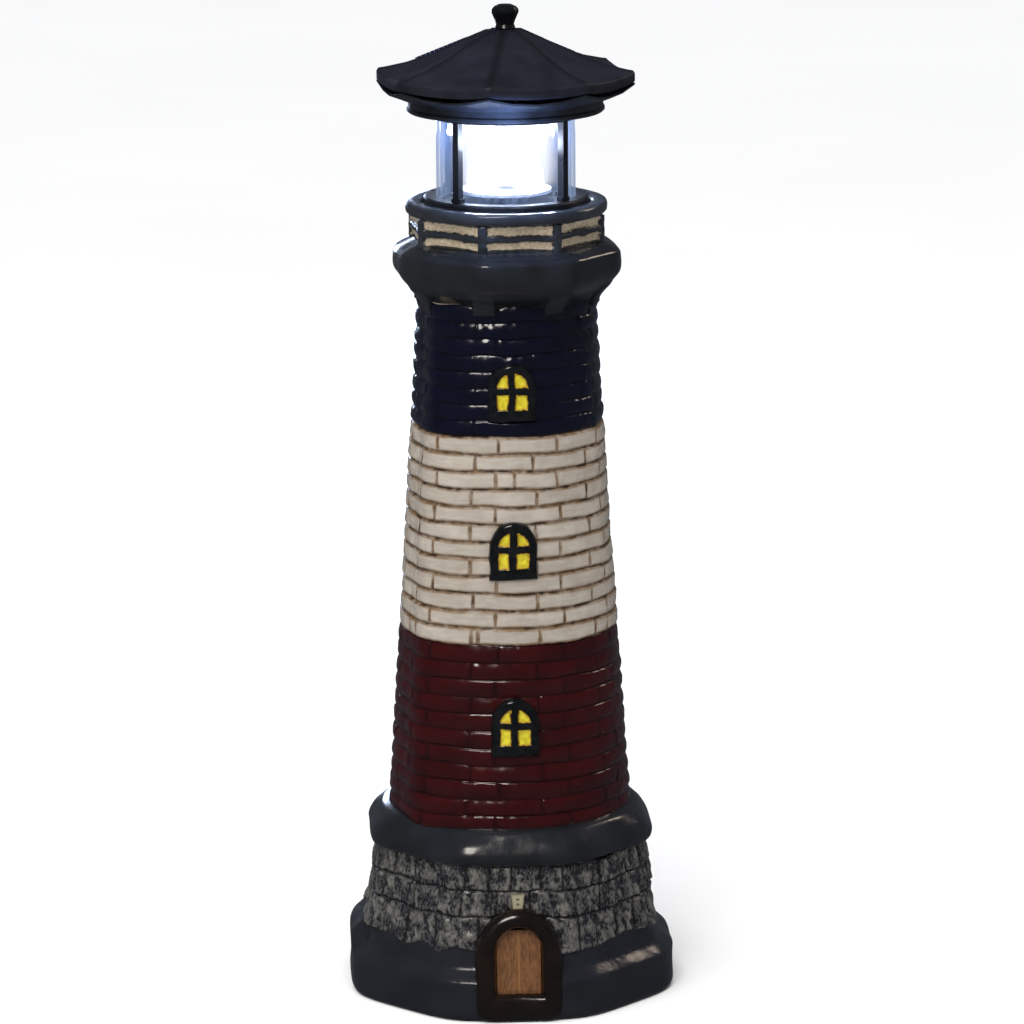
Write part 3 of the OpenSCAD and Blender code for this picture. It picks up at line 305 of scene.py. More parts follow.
# Slate glaze with the railing's panels painted in a matt tan slip; panel is mm inside a panel's edge
def railGlaze(name):
    material, tree, place = startMaterial(name)
    slate = mottled(tree, place, 12, 3, 0.35, 0.65, "#23262b", "#2d3037")
    ragged = add(tree, "TexNoise", {"Vector": place, "Scale": mm / 1.6, "Detail": 3})
    ragged = add(tree, "MapRange", {0: ragged, 1: 0.3, 2: 0.7, 3: -0.3, 4: 0.3})
    panel = add(tree, "Attribute", out="Fac", attribute_name="panel")
    inside = add(tree, "Math", {0: panel, 1: ragged}, operation="ADD")
    inside = add(tree, "MapRange", {0: inside, 1: -0.12, 2: 0.22})
    tan = mottled(tree, place, 0.9, 3, 0.35, 0.7, "#a3937a", "#c9bca3")
    colour = add(tree, "Mix", {0: inside, 6: slate, 7: tan}, 2, data_type="RGBA")
    rough = add(tree, "MapRange", {0: inside, 3: 0.2, 4: 0.6})
    ripple = add(tree, "TexNoise", {"Vector": place, "Scale": mm / 2.2, "Detail": 4})
    wavy = add(tree, "Bump", {"Height": ripple, "Distance": 0.0002, "Strength": 0.8})
    return endMaterial(material, {
        "Base Color": colour, "Roughness": rough, "IOR": 1.5, "Normal": wavy,
        "Coat Weight": 0.25, "Coat Roughness": 0.1, "Coat IOR": 1.5})


# Window painted by hand: thick black frame glaze, yellow panes with a darker orange edge
def windowPaint(name):
    material, tree, place = startMaterial(name)
    ragged = add(tree, "TexNoise", {"Vector": place, "Scale": mm / 1.4})
    ragged = add(tree, "MapRange", {0: ragged, 1: 0.3, 2: 0.7, 3: -0.22, 4: 0.22})
    pane = add(tree, "Attribute", out="Fac", attribute_name="pane")
    pane = add(tree, "Math", {0: pane, 1: ragged}, operation="ADD")
    yellow = mottled(tree, place, 1.8, 3, 0.4, 0.62, "#c2b216", "#dfd22c")
    middle = add(tree, "MapRange", {0: pane, 1: 0.15, 2: 0.75})
    yellow = add(tree, "Mix", {0: middle, 6: "#a07a1c", 7: yellow}, 2, data_type="RGBA")
    black = mottled(tree, place, 3, 2, 0.4, 0.6, "#08090a", "#121314")
    inside = add(tree, "MapRange", {0: pane, 1: -0.06, 2: 0.14})
    colour = add(tree, "Mix", {0: inside, 6: black, 7: yellow}, 2, data_type="RGBA")
    rough = add(tree, "MapRange", {0: inside, 3: 0.12, 4: 0.34})
    ripple = add(tree, "TexNoise", {"Vector": place, "Scale": mm / 1.6, "Detail": 3})
    wavy = add(tree, "Bump", {"Height": ripple, "Distance": 0.00012, "Strength": 0.8})
    return endMaterial(material, {
        "Base Color": colour, "Roughness": rough, "IOR": 1.5, "Normal": wavy,
        "Coat Weight": 0.5, "Coat Roughness": 0.06, "Coat IOR": 1.5})


# Door: brown underglaze, matt, with faint upright brush marks and a lighter seam
def doorPaint(name):
    material, tree, place = startMaterial(name)
    upright = add(tree, "Mapping", {"Vector": place, "Scale": (1, 1, 1 / 7)})
    brush = add(tree, "TexNoise", {"Vector": upright, "Scale": mm / 0.8, "Detail": 4})
    share = add(tree, "MapRange", {0: brush, 1: 0.35, 2: 0.68})
    colour = add(tree, "Mix", {0: share, 6: "#59391f", 7: "#7c5230"}, 2, data_type="RGBA")
    seam = add(tree, "Attribute", out="Fac", attribute_name="joint")
    colour = add(tree, "Mix", {0: seam, 6: colour, 7: "#8a6238"}, 2, data_type="RGBA")
    marks = add(tree, "Bump", {"Height": brush, "Distance": 0.00008, "Strength": 0.8})
    return endMaterial(material, {"Base Color": colour, "Roughness": 0.62, "IOR": 1.45, "Normal": marks})


# Unglazed earthenware inside the casting: chalky, pale, faintly pitted
def bisque(name):
    material, tree, place = startMaterial(name)
    colour = mottled(tree, place, 8, 5, 0.3, 0.7, "#b9ab97", "#cfc3b1")
    pits = add(tree, "TexNoise", {"Vector": place, "Scale": mm / 0.8, "Detail": 3})
    pitted = add(tree, "Bump", {"Height": pits, "Distance": 0.0001, "Strength": 0.6})
    return endMaterial(material, {"Base Color": colour, "Roughness": 0.9, "IOR": 1.4, "Normal": pitted})


# Moulded plastic: one colour through, a fine spark-eroded grain and a little unevenness in its gloss
def moulded(name, dark, light, roughness, grainMm=0.5, depthMm=0.03, specular=0.5):
    material, tree, place = startMaterial(name)
    colour = mottled(tree, place, 11, 4, 0.35, 0.65, dark, light)
    # a piece that has ridges marks them as joints, which look darker
    ridge = add(tree, "Attribute", out="Fac", attribute_name="joint")
    ridge = add(tree, "Math", {0: ridge, 1: 0.7}, operation="MULTIPLY")
    colour = add(tree, "Mix", {0: ridge, 6: colour, 7: "#0a0b0e"}, 2, data_type="RGBA")
    uneven = add(tree, "TexNoise", {"Vector": place, "Scale": mm / 5, "Detail": 4})
    dullest = min(1.0, roughness * 1.2)
    rough = add(tree, "MapRange", {0: uneven, 1: 0.3, 2: 0.7, 3: roughness * 0.85, 4: dullest})
    sparks = add(tree, "TexNoise", {"Vector": place, "Scale": mm / grainMm})
    grainy = add(tree, "Bump", {"Height": sparks, "Distance": depthMm / mm, "Strength": 0.6})
    return endMaterial(material, {
        "Base Color": colour, "Roughness": rough, "IOR": 1.49, "Normal": grainy,
        "Specular IOR Level": specular})


# Metal: rolled, drawn or plated; stretch draws its marks out along the way it was worked
def metal(name, dark, light, roughness, markMm=0.6, stretch=(1.0, 1.0, 6.0)):
    material, tree, place = startMaterial(name)
    drawn = add(tree, "Mapping", {"Vector": place, "Scale": [1 / s for s in stretch]})
    marks = add(tree, "TexNoise", {"Vector": drawn, "Scale": mm / markMm, "Detail": 4})
    share = add(tree, "MapRange", {0: marks, 1: 0.3, 2: 0.7})
    colour = add(tree, "Mix", {0: share, 6: dark, 7: light}, 2, data_type="RGBA")
    rough = add(tree, "MapRange", {0: marks, 1: 0.3, 2: 0.7, 3: roughness * 0.7, 4: roughness * 1.4})
    worked = add(tree, "Bump", {"Height": marks, "Distance": 0.00001, "Strength": 0.5})
    return endMaterial(material, {
        "Base Color": colour, "Metallic": 1.0, "Roughness": rough, "Normal": worked})


# Clear polycarbonate: flow lines run up it and its edge looks dark; its emission is painted glow, bluish
# streaks all over and white in front of the lamp where it faces the view, and its haze adds cover there
def clearPlastic(name, lampFoot=0.302):
    material, tree, place = startMaterial(name)
    upright = add(tree, "Mapping", {"Vector": place, "Scale": (1, 1, 1 / 9)})
    flow = add(tree, "TexNoise", {"Vector": upright, "Scale": mm / 2.2, "Detail": 3})
    facing = add(tree, "LayerWeight", {"Blend": 0.5}, "Facing")
    body = add(tree, "Mix", {0: flow, 6: "#0d1424", 7: "#2c3a58"}, 2, data_type="RGBA")
    rim = add(tree, "MapRange", {0: facing, 1: 0.6, 2: 0.97})
    rim = add(tree, "Math", {0: rim, 1: 0.6}, operation="MULTIPLY")
    height = add(tree, "SeparateXYZ", {0: place}, 2)
    lit = add(tree, "MapRange", {0: height, 1: lampFoot, 2: lampFoot + 0.004})
    haze = add(tree, "MapRange", {0: facing, 1: 0.18, 2: 0.4, 3: 0.35, 4: 0.0})
    haze = add(tree, "Math", {0: lit, 1: haze}, operation="MULTIPLY")
    cover = add(tree, "Math", {0: rim, 1: haze}, operation="ADD")
    lines = add(tree, "MapRange", {0: flow, 1: 0.35, 2: 0.7, 3: 0.1, 4: 0.42})
    cover = add(tree, "Math", {0: lines, 1: cover}, operation="ADD")
    # painted glow: the lens emits bluish streaks everywhere, and white above the lamp's foot where it faces
    # the view
    paintedStreakGlow = add(tree, "Mix", {0: flow, 6: "#34465f", 7: "#8fa2ba"}, 2, data_type="RGBA")
    paintedLampShine = add(tree, "MapRange", {0: facing, 1: 0.16, 2: 0.42, 3: 1.0, 4: 0.0})
    paintedLampShine = add(tree, "Math", {0: lit, 1: paintedLampShine}, operation="MULTIPLY")
    glow = add(tree, "Mix", {0: paintedLampShine, 6: paintedStreakGlow, 7: "#ffffff"}, 2, data_type="RGBA")
    wavy = add(tree, "Bump", {"Height": flow, "Distance": 0.0002, "Strength": 0.5})
    return endMaterial(material, {
        "Base Color": body, "Roughness": 0.06, "IOR": 1.58, "Alpha": cover, "Normal": wavy,
        "Emission Color": glow, "Emission Strength": 1.0})


# Frosted cover over the light: lit from inside, a little uneven, fading towards its foot
def litCover(name, strength):
    material, tree, place = startMaterial(name)
    cloud = add(tree, "TexNoise", {"Vector": place, "Scale": mm / 6})
    colour = add(tree, "Mix", {0: cloud, 6: "#e4ecff", 7: "#ffffff"}, 2, data_type="RGBA")
    height = add(tree, "SeparateXYZ", {0: place}, 2)
    lit = add(tree, "MapRange", {0: height, 1: 0.303, 2: 0.311})
    glow = add(tree, "Mix", {0: lit, 6: "#1b2430", 7: "#dfe9ff"}, 2, data_type="RGBA")
    frost = add(tree, "TexNoise", {"Vector": place, "Scale": mm / 0.5})
    frosted = add(tree, "Bump", {"Height": frost, "Distance": 0.00003, "Strength": 0.5})
    return endMaterial(material, {
        "Base Color": colour, "Roughness": 0.5, "Normal": frosted,
        "Emission Color": glow, "Emission Strength": strength})


# Solar cell: blue-black silicon wafer under resin, with printed silver fingers 1.6 mm apart
def solarWafer(name):
    material, tree, place = startMaterial(name)
    wafer = mottled(tree, place, 5, 2, 0.4, 0.6, "#0a1030", "#16204a")
    across = add(tree, "SeparateXYZ", {0: place})
    across = add(tree, "Math", {0: across, 1: mm}, operation="MULTIPLY")
    across = add(tree, "Math", {0: across, 1: 0.8}, operation="PINGPONG")
    finger = add(tree, "Math", {0: across, 1: 0.1}, operation="LESS_THAN")
    colour = add(tree, "Mix", {0: finger, 6: wafer, 7: "#8f95a0"}, 2, data_type="RGBA")
    return endMaterial(material, {
        "Base Color": colour, "Roughness": 0.12, "IOR": 1.5, "Coat Weight": 0.8, "Coat Roughness": 0.04})


paints = {
    "navy": glaze("navyGlaze", "#030409", "#050616", "#08091d"),
    "maroon": glaze("maroonGlaze", "#140203", "#2a0506", "#350708"),
    "slate": glaze("slateGlaze", "#0d0e10", "#17191c", "#1f2125"),
    "umber": glaze("umberGlaze", "#070403", "#0f0a07", "#19110c"),
    "white": washedGlaze("washedWhiteGlaze"),
    "stone": dryBrushed("dryBrushedSlateGlaze"),
    "rail": railGlaze("railSlipAndGlaze"),
    "window": windowPaint("windowGlaze"),
    "door": doorPaint("doorUnderglaze"),
    "plaque": glaze("creamGlaze", "#4b4030", "#868067", "#9a947c", jointName="mark"),
    "bisque": bisque("bisqueEarthenware"),
}
print("paints ready")

pieces = []

stoneBase = {
    "sharp": 17.0, "columns": 720, "courseTops": [37.5, 47.3, 56.8], "lowest": 24.2,
    "stone": 13.2, "relief": 1.3, "joint": 1.25, "rough": 0.6, "edgeZ": 14.6,
    "raised": 6.0, "girth": 345.0,
}


# profile of the base: half width by height, with the foot rounded and the sweep easing in to the stones
def baseHalf(z, raised=0.0):
    t = tower
    upright = t["plinthHalf"] - 0.02 * z
    over = z - stoneBase["edgeZ"] - raised
    drawnIn = [-1.3, 0, 4.6, t["plinthHalf"] - 0.3 - t["stoneHalf"]]
    slope = t["plinthHalf"] - 0.3 - np.interp(over, [-1, 0, 4.2, t["stoneZ"] - stoneBase["edgeZ"]], drawnIn)
    half = 0.5 * (upright + slope - np.sqrt((upright - slope) ** 2 + 0.4))
    band = np.clip((z - t["stoneZ"]) / (t["collarZ"] - t["stoneZ"]), 0, 1)
    half = half - (t["stoneHalf"] - t["stoneTopHalf"]) * band ** 0.8
    return half - 2.4 * (1 - rounded(np.clip(z / 3.0, 0, 1)))


# stones: seeded widths laid round each course; gives the distance to the nearest upright joint and the
# stone's number
def stoneLayout(course, run, length, seed):
    rng = np.random.default_rng(seed + course)
    count = int(round(length / stoneBase["stone"]))
    widths = rng.uniform(0.6, 1.45, count)
    joints = np.concatenate([[0], np.cumsum(widths)]) / widths.sum() * length
    number = np.clip(np.searchsorted(joints, run) - 1, 0, count - 1)
    near = np.minimum(run - joints[number], joints[number + 1] - run)
    return near, number


def buildStoneBase():
    phi = np.linspace(-math.pi, math.pi, stoneBase["columns"], endpoint=False)
    foot = [0.0, 0.3, 0.8, 1.5, 2.3, 3.2]
    edgeRows = np.linspace(13.4, 16.6, 9)
    sweepRows = np.linspace(17.4, 20.8, 5)
    z = np.concatenate([foot, np.linspace(4.6, 13.0, 7), edgeRows, sweepRows, np.arange(21.4, 57.8, 0.42)])
    zz, pp = np.meshgrid(z, phi, indexing="ij")
    plan = octagon(0, stoneBase["sharp"], pp)
    turn = np.degrees(pp)
    # the left side was cast with a higher plinth
    raised = stoneBase["raised"] * ease((-turn - 74) / 8) * ease((turn + 130) / 20)
    r = baseHalf(zz, raised) * plan
    r = r + 0.45 * softNoise(pp / math.tau * 40, zz / 9, 5, wrap=40) * ease((zz - 1) / 6)
    length = stoneBase["girth"]
    wobble = 0.9 * softNoise(pp / math.tau * 60, zz / 6, 11, wrap=60)
    run = np.mod((pp / math.tau + 0.5) * length + wobble, length)
    tops = np.array(stoneBase["courseTops"])
    wave = 0.7 * softNoise(pp / math.tau * 34, zz * 0 + 3, 12, wrap=34)
    wave = wave + 0.35 * softNoise(pp / math.tau * 90, zz * 0, 13, wrap=90)
    lowest = stoneBase["lowest"] + 1.5 * softNoise(pp / math.tau * 44, zz * 0, 14, wrap=44)
    edges = [lowest] + [top + wave for top in tops]
    near = np.zeros_like(r)
    lift = np.zeros_like(r)
    rise = np.zeros_like(r)
    tilt = np.random.default_rng(21).uniform(-0.5, 0.5, (3, 80))
    for course in range(3):
        low, high = edges[course], edges[course + 1]
        inside = (zz >= low) & (zz < high)
        across, number = stoneLayout(course, run, length, 31)
        upright = np.minimum(zz - low, high - zz)
        distance = np.minimum(across, upright)
        edge = rounded(distance / stoneBase["joint"])
        stone = edge * (stoneBase["relief"] + tilt[course][number])
        near = np.where(inside, distance, near)
        lift = np.where(inside, stone, lift)
        rise = np.where(inside, edge, rise)
    # chisel marks: slanting ridges about 2 mm wide and 3 mm tall, with finer ones over them
    rough = softNoise(pp / math.tau * 165 + 0.15 * zz, zz / 3.4, 41, wrap=165)
    rough = rough + 0.5 * softNoise(pp / math.tau * 240, zz / 1.6, 42, wrap=240)
    rough = rough + 0.2 * softNoise(pp / math.tau * 90, zz / 4.0, 43, wrap=90)
    stony = ease((zz - edges[0] - raised * 0.4) / 1.2) * ease((57.9 - zz) / 1.0)
    # room behind the door for its leaves
    behindDoor = ease((11.2 - np.abs(r * np.sin(pp))) / 1.0) * ease((35.8 - zz) / 1.0) * (np.cos(pp) > 0)
    r = r + stony * (lift - 0.75 + stoneBase["rough"] * rough * rise) - 7.0 * behindDoor
    rise = np.clip(rise * (0.3 + 0.55 * rough), 0, 1) * stony
    joint = np.clip(1 - near / 0.7, 0, 1) * stony
    marks = {"rise": rise, "joint": joint, "stony": stony}
    return castRing("stoneBase", phi, zz, r, [paints["stone"], paints["bisque"]], marks, innerLow=0.0)


pieces.append(buildStoneBase())
print("stone base built")

collar = {
    "sharp": 24.0, "along": [0, 0.12, 0.3, 0.45, 0.62, 0.86, 1.0],
    "half": [48.4, 50.8, 52.4, 52.9, 52.3, 47.9, 44.8],
    "z": [55.8, 56.3, 57.8, 59.6, 61.4, 68.6, 69.6],
}


def buildCollar():
    phi = np.linspace(-math.pi, math.pi, 480, endpoint=False)
    t = np.linspace(0, 1, 40)[:, None]
    # roll: half width and height along a smoothed polyline; its upper face slopes to the shaft
    z = np.interp(t, collar["along"], collar["z"])
    half = np.interp(t, collar["along"], collar["half"])
    for _ in range(3):
        z[1:-1] = (z[:-2] + 2 * z[1:-1] + z[2:]) / 4
        half[1:-1] = (half[:-2] + 2 * half[1:-1] + half[2:]) / 4
    pp = phi[None, :]
    plan = octagon(0, collar["sharp"], pp)
    toRound = ease((z - 63.6) / 5.6)
    r = half * (plan * (1 - toRound) + toRound * (1 + (plan - 1) * 0.15))
    z = z + 0 * pp
    r = r + 0.35 * softNoise(pp / math.tau * 26 + 0 * z, z / 8, 51, wrap=26)
    # darker along the roll's foot on the stones and where its top meets the shaft
    joint = np.clip(1 - np.abs(t - 0.02) / 0.16, 0, 1) * 0.8 + np.clip((t - 0.88) / 0.12, 0, 1) * 0.7 + 0 * pp
    return castRing("collarRoll", phi, z, r, [paints["slate"], paints["bisque"]], {"joint": joint})


pieces.append(buildCollar())

bricks = {
    "columns": 640, "perCourse": [0.0, 0.05, 0.1, 0.16, 0.24, 0.36, 0.52, 0.68, 0.8, 0.88, 0.94],
    "lean": 0.9,
    "jointDepth": 1.05, "edge": 1.5, "uprightEdge": 0.95, "bricksRound": 10, "lag": 0.61, "shift": -9.0,
}


# bricks in courses: the radius falls away near each joint as a quarter circle, or each course bulges as an
# arc of radius barrel; every other course is shifted by lag of a brick
def buildBricks(name, low, high, courses, first, material, upright=0.8, barrel=0.0, jointW=0.75, extra=()):
    phi = np.linspace(-math.pi, math.pi, bricks["columns"], endpoint=False)
    steps = np.array(bricks["perCourse"])
    v = np.concatenate([c + steps for c in range(courses)] + [[courses]])
    tall = (high - low) / courses
    vv, pp = np.meshgrid(v, phi, indexing="ij")
    lowLine, highLine = np.floor(vv), np.floor(vv) + 1
    frac = vv - lowLine

    def line(number):
        return 0.42 * softNoise(pp / math.tau * 22, number + first + 0.0 * pp, 61, wrap=22)

    zz = low + tall * vv + line(lowLine) * (1 - frac) + line(highLine) * frac
    course = np.minimum(lowLine, courses - 1)
    fromJoint = np.minimum(frac, 1 - frac) * tall
    rBase = shaftAt(zz)
    turn = np.degrees(pp)
    pitch = 360.0 / bricks["bricksRound"]
    number = course + first
    start = bricks["shift"] + np.where(np.mod(number, 2) == 0, 0.0, pitch * bricks["lag"])
    jitter = np.random.default_rng(71).uniform(-1.3, 1.3, (64, 12))
    place = (turn - start) / pitch
    nearest = np.round(place)
    offset = jitter[number.astype(int) % 64, np.mod(nearest, bricks["bricksRound"]).astype(int)]
    across = np.abs((place - nearest) * pitch - offset) * math.pi / 180 * rBase
    for atCourse, atTurn in extra:
        here = np.abs(turn - atTurn) * math.pi / 180 * rBase
        across = np.where(course == atCourse, np.minimum(across, here), across)
    across = across + 0.22 * softNoise(pp / math.tau * 60, zz / 1.7, 62, wrap=60)
    edge = rounded(fromJoint / bricks["edge"])
    side = rounded(np.abs(across) / bricks["uprightEdge"])
    brick = np.floor(place + 1e-6)
    tones = np.random.default_rng(72).uniform(0, 1, (64, 12))
    leans = np.random.default_rng(73).uniform(-bricks["lean"], bricks["lean"], (64, 12))
    tone = tones[number.astype(int) % 64, np.mod(brick, bricks["bricksRound"]).astype(int)]
    r = rBase + 0.15 - bricks["jointDepth"] * (1 - edge) - upright * (1 - side) * edge
    if barrel:
        # each course bulges as an arc of the given radius
        r = rBase + 0.15 + np.sqrt(barrel ** 2 - (0.5 * tall - fromJoint) ** 2) - barrel
        r = r - 0.2 * (1 - rounded(fromJoint / 0.7)) - upright * (1 - side) * edge
    # every brick stands a little in or out and leans a little
    lean = leans[number.astype(int) % 64, np.mod(brick, bricks["bricksRound"]).astype(int)]
    r = r + (tone - 0.5) * 0.3 * edge + lean * (frac - 0.5) * edge
    r = r + 0.16 * softNoise(pp / math.tau * 110, zz / 2.3, 63, wrap=110)
    r = r + 0.3 * softNoise(pp / math.tau * 18, zz / 22, 64, wrap=18)
    r = r + swell(pp)
    joint = np.maximum(1 - fromJoint / jointW, (1 - np.abs(across) / 1.1) * min(1.0, upright / 0.6))
    joint = np.clip(joint, 0, 1)
    return castRing(name, phi, zz, r, [material, paints["bisque"]], {"joint": joint, "tone": tone})


pieces.append(buildBricks("redBricks", tower["shaftZ"] - 0.6, tower["whiteZ"], 11, 0, paints["maroon"],
                          upright=0.6, barrel=6.6, jointW=0.5))
pieces.append(buildBricks("whiteBricks", tower["whiteZ"], tower["blueZ"], 12, 11, paints["white"], jointW=1.6,
                          extra=((9, 1.0), (0, -19.0), (0, 61.0), (0, -68.0))))
pieces.append(buildBricks("navyBricks", tower["blueZ"], tower["neckZ"], 8, 23, paints["navy"],
                          upright=0.42, barrel=6.3, jointW=0.5))
print("bricks laid")

gallery = {
    "turn": 5.5, "sharp": 19.0, "half": 40.8, "neck": 31.8, "coveZ": 259.0, "low": 272.2,
    "corbel": 8.0, "corbelZ": 258.6, "slateZ": 265.5,
}


def buildGallery():
    s = gallery
    phi = np.linspace(-math.pi, math.pi, 720, endpoint=False)
    corbelZ = np.array([256.6, 257.4, 258.0, 258.4, 258.8])
    coveZ = np.linspace(s["coveZ"], s["low"], 24)
    coveHalf = s["neck"] + (s["half"] - s["neck"]) * ease((coveZ - s["coveZ"]) / (s["low"] - s["coveZ"]))
    # upright face, rounded edge and sloping deck: [mm inside the full half width, height]
    over = np.array([
        [-0.1, 273.2], [-0.1, 274.6], [-0.05, 276.2], [0, 277.4], [0.15, 278.1], [0.5, 278.7],
        [1.2, 279.3], [2.2, 279.9], [4.0, 280.9], [5.8, 281.7], [6.8, 282.3], [7.6, 283.2]])
    z = np.concatenate([corbelZ, coveZ, over[:, 1]])
    half = np.concatenate([np.full(len(corbelZ), s["neck"]), coveHalf, s["half"] - over[:, 0]])
    zz, pp = np.meshgrid(z, phi, indexing="ij")
    hh = np.repeat(half[:, None], len(phi), axis=1)
    r = hh * octagon(s["turn"], s["sharp"], pp)
    # corbels: a block under each corner of the gallery, standing out of the last courses
    step = np.degrees(pp) - s["turn"] - 22.5
    place = np.abs((step / 45 - np.round(step / 45)) * 45) * math.pi / 180 * 33.5
    block = ease((s["corbel"] / 2 + 0.4 - place) / 0.8)
    block = block * ease((zz - s["corbelZ"] + 0.4) / 0.8) * ease((268.0 - zz) / 3.0)
    r = np.maximum(r, shaftAt(zz) - 1.6) + swell(pp) * 0.8 * ease((264 - zz) / 6)
    r = r + block * np.maximum(1.1, shaftAt(zz) + 1.1 + 0.8 * swell(pp) - r)
    r = r + 0.45 * softNoise(pp / math.tau * 30, zz / 7, 81, wrap=30)
    # below slateZ the cove is painted darker: its dark glaze together with painted shade under the slab; the
    # corbels stay slate, and the deck is darker by the railing's foot
    joint = 1.4 * ease((s["slateZ"] - zz) / 2.0) * (1 - block) + 0.6 * ease((zz - 281.6) / 1.2)
    return castRing("gallerySlab", phi, zz, r, [paints["slate"], paints["bisque"]], {"joint": joint})


pieces.append(buildGallery())

railing = {
    "half": 33.2, "low": 282.3, "high": 291.5, "post": 1.9, "postProud": 1.4, "barZ": 286.9, "bar": 1.3,
    "barProud": 1.1, "ringR": 37.1, "ringTop": 296.4, "mouthR": 31.0, "throatR": 26.4, "ledgeZ": 292.2,
}


def buildRailing():
    phi = np.linspace(-math.pi, math.pi, 900, endpoint=False)
    s = railing
    wallZ = np.arange(281.0, 291.6, 0.3)
    zz, pp = np.meshgrid(wallZ, phi, indexing="ij")
    turn = np.radians(gallery["turn"])
    plan = octagon(gallery["turn"], 60.0, pp)
    wall = s["half"] * plan
    # distance along the side from the nearest corner post
    side = np.mod(pp - turn + math.pi / 8, math.pi / 4) - math.pi / 8
    along = s["half"] * np.tan(side)
    corner = s["half"] * math.tan(math.pi / 8)
    fromPost = corner - np.abs(along) - s["post"]
    wavy = 0.35 * softNoise(pp / math.tau * 40, zz / 3, 91, wrap=40)
    fromBar = np.abs(zz - s["barZ"] - wavy) - s["bar"]
    fromTop = s["high"] - 0.3 - zz
    fromLow = zz - s["low"] - 0.1
    panel = np.minimum(np.minimum(fromPost, fromBar), np.minimum(fromTop, fromLow)) + 0.15 * wavy
    raisedPost = s["postProud"] * rounded(np.clip(-fromPost / 0.7, 0, 1))
    raisedBar = s["barProud"] * rounded(np.clip(-fromBar / 0.7, 0, 1))
    r = np.minimum(wall, s["ringR"] - 1.6) + np.maximum(raisedPost, raisedBar)
    r = r + 0.2 * softNoise(pp / math.tau * 120, zz / 2, 92, wrap=120)
    ring = [
        [s["ringR"] - 2.2, 291.7], [s["ringR"] - 0.9, 291.95], [s["ringR"] - 0.2, 292.6], [s["ringR"], 293.8],
        [s["ringR"], 295.0], [s["ringR"] - 0.35, 295.9], [s["ringR"] - 1.2, s["ringTop"]],
        [s["mouthR"] + 0.9, s["ringTop"] - 0.1], [s["mouthR"] + 0.1, s["ringTop"] - 0.8],
        [s["mouthR"], s["ledgeZ"] + 0.6], [s["mouthR"], s["ledgeZ"]], [s["throatR"] + 0.3, s["ledgeZ"]],
        [s["throatR"], s["ledgeZ"] - 0.4], [s["throatR"], 284.0], [s["throatR"], 281.0]]
    ringR = np.array([p[0] for p in ring])[:, None] + 0 * phi[None, :]
    ringZ = np.array([p[1] for p in ring])[:, None] + 0 * phi[None, :]
    lumpy = np.where(ringR > 33, 1.0, 0.0)
    ringR = ringR + lumpy * 0.3 * softNoise(phi[None, :] / math.tau * 28 + 0 * ringZ, ringZ / 3, 93, wrap=28)
    points = onRound(np.vstack([r, ringR]), phi[None, :], np.vstack([zz, ringZ]))
    panels = np.vstack([panel, np.full_like(ringR, -3.0)])
    return gridPiece("railingAndMouth", points, [paints["rail"]], attributes={"panel": panels})


pieces.append(buildRailing())
print("gallery and railing built")

windows = {
    "width": 17.8, "height": 21.2, "frame": 3.3, "bar": 2.6, "proud": 1.7, "sill": 4.3,
    "heights": [106.9, 172.3, 230.6],
}


# signed distance in mm inside an arch w wide and h high, standing on v = 0, with an oval head
def insideArch(u, v, w, h, head):
    side = w / 2 - np.abs(u)
    low = v
    over = np.maximum(v - (h - head), 0)
    oval = (1 - np.sqrt((u / (w / 2)) ** 2 + (over / head) ** 2)) * min(w / 2, head)
    return np.minimum(low, np.where(v > h - head, oval, side))


# height over a flat patch: u across, v up; edges sink to -2 mm so the patch grows out of what carries it
def reliefPatch(name, width, height, across, up, heightOf, placeOf, material, back=3.0):
    u = np.linspace(-width / 2, width / 2, across)
    v = np.linspace(0, height, up)
    vv, uu = np.meshgrid(v, u, indexing="ij")
    rise, attributes = heightOf(uu, vv)
    front = placeOf(uu, vv, rise)
    rear = placeOf(uu, vv, np.full_like(uu, -back))
    rear[0], rear[-1], rear[:, 0], rear[:, -1] = front[0], front[-1], front[:, 0], front[:, -1]
    points = np.vstack([front, rear[::-1]])
    doubled = {k: np.vstack([a, a[::-1]]) for k, a in attributes.items()}
    return gridPiece(name, points, [material], around=False, over=True, attributes=doubled, weld=True)


def buildWindow(number, middle):
    s = windows
    pad = 1.2
    wide, tall = s["width"] + 2 * pad, s["height"] + 2 * pad

    def heightOf(uu, vv):
        v = vv - pad
        wobble = 0.3 * softNoise(uu / 4 + 9 * number, v / 4, 101)
        outside = insideArch(uu, v, s["width"], s["height"], s["width"] * 0.52) + wobble
        innerW, innerH = s["width"] - 2 * s["frame"], s["height"] - s["frame"] - s["sill"]
        opening = insideArch(uu, v - s["sill"], innerW, innerH, innerW * 0.5)
        barUp = np.abs(uu + 0.25 + 0.3 * softNoise(v / 5 + number, uu * 0, 102)) - s["bar"] / 2
        barV = s["sill"] + innerH * 0.53
        barAcross = np.abs(v - barV - 0.3 * softNoise(uu / 5, uu * 0 + number, 103)) - s["bar"] / 2
        pane = np.minimum(opening, np.minimum(barUp, barAcross)) + 0.6 * wobble
        puffy = rounded(outside / 1.6) * s["proud"] - 0.9 * ease((pane + 0.3) / 1.0)
        rise = np.where(outside > 0, puffy, -2.2 * ease(-outside / 0.5))
        return rise, {"pane": pane}

    def placeOf(uu, vv, rise):
        z = middle - tall / 2 + vv
        face = shaftAt(z) + 0.1
        far = np.sqrt(np.maximum(face ** 2 - uu ** 2, 1.0))
        scale = (far + rise) / far
        return np.stack([uu * (1 + (scale - 1) * 0.3), -(far + rise), z], axis=-1)

    return reliefPatch(f"window_{number}", wide, tall, 96, 118, heightOf, placeOf, paints["window"])


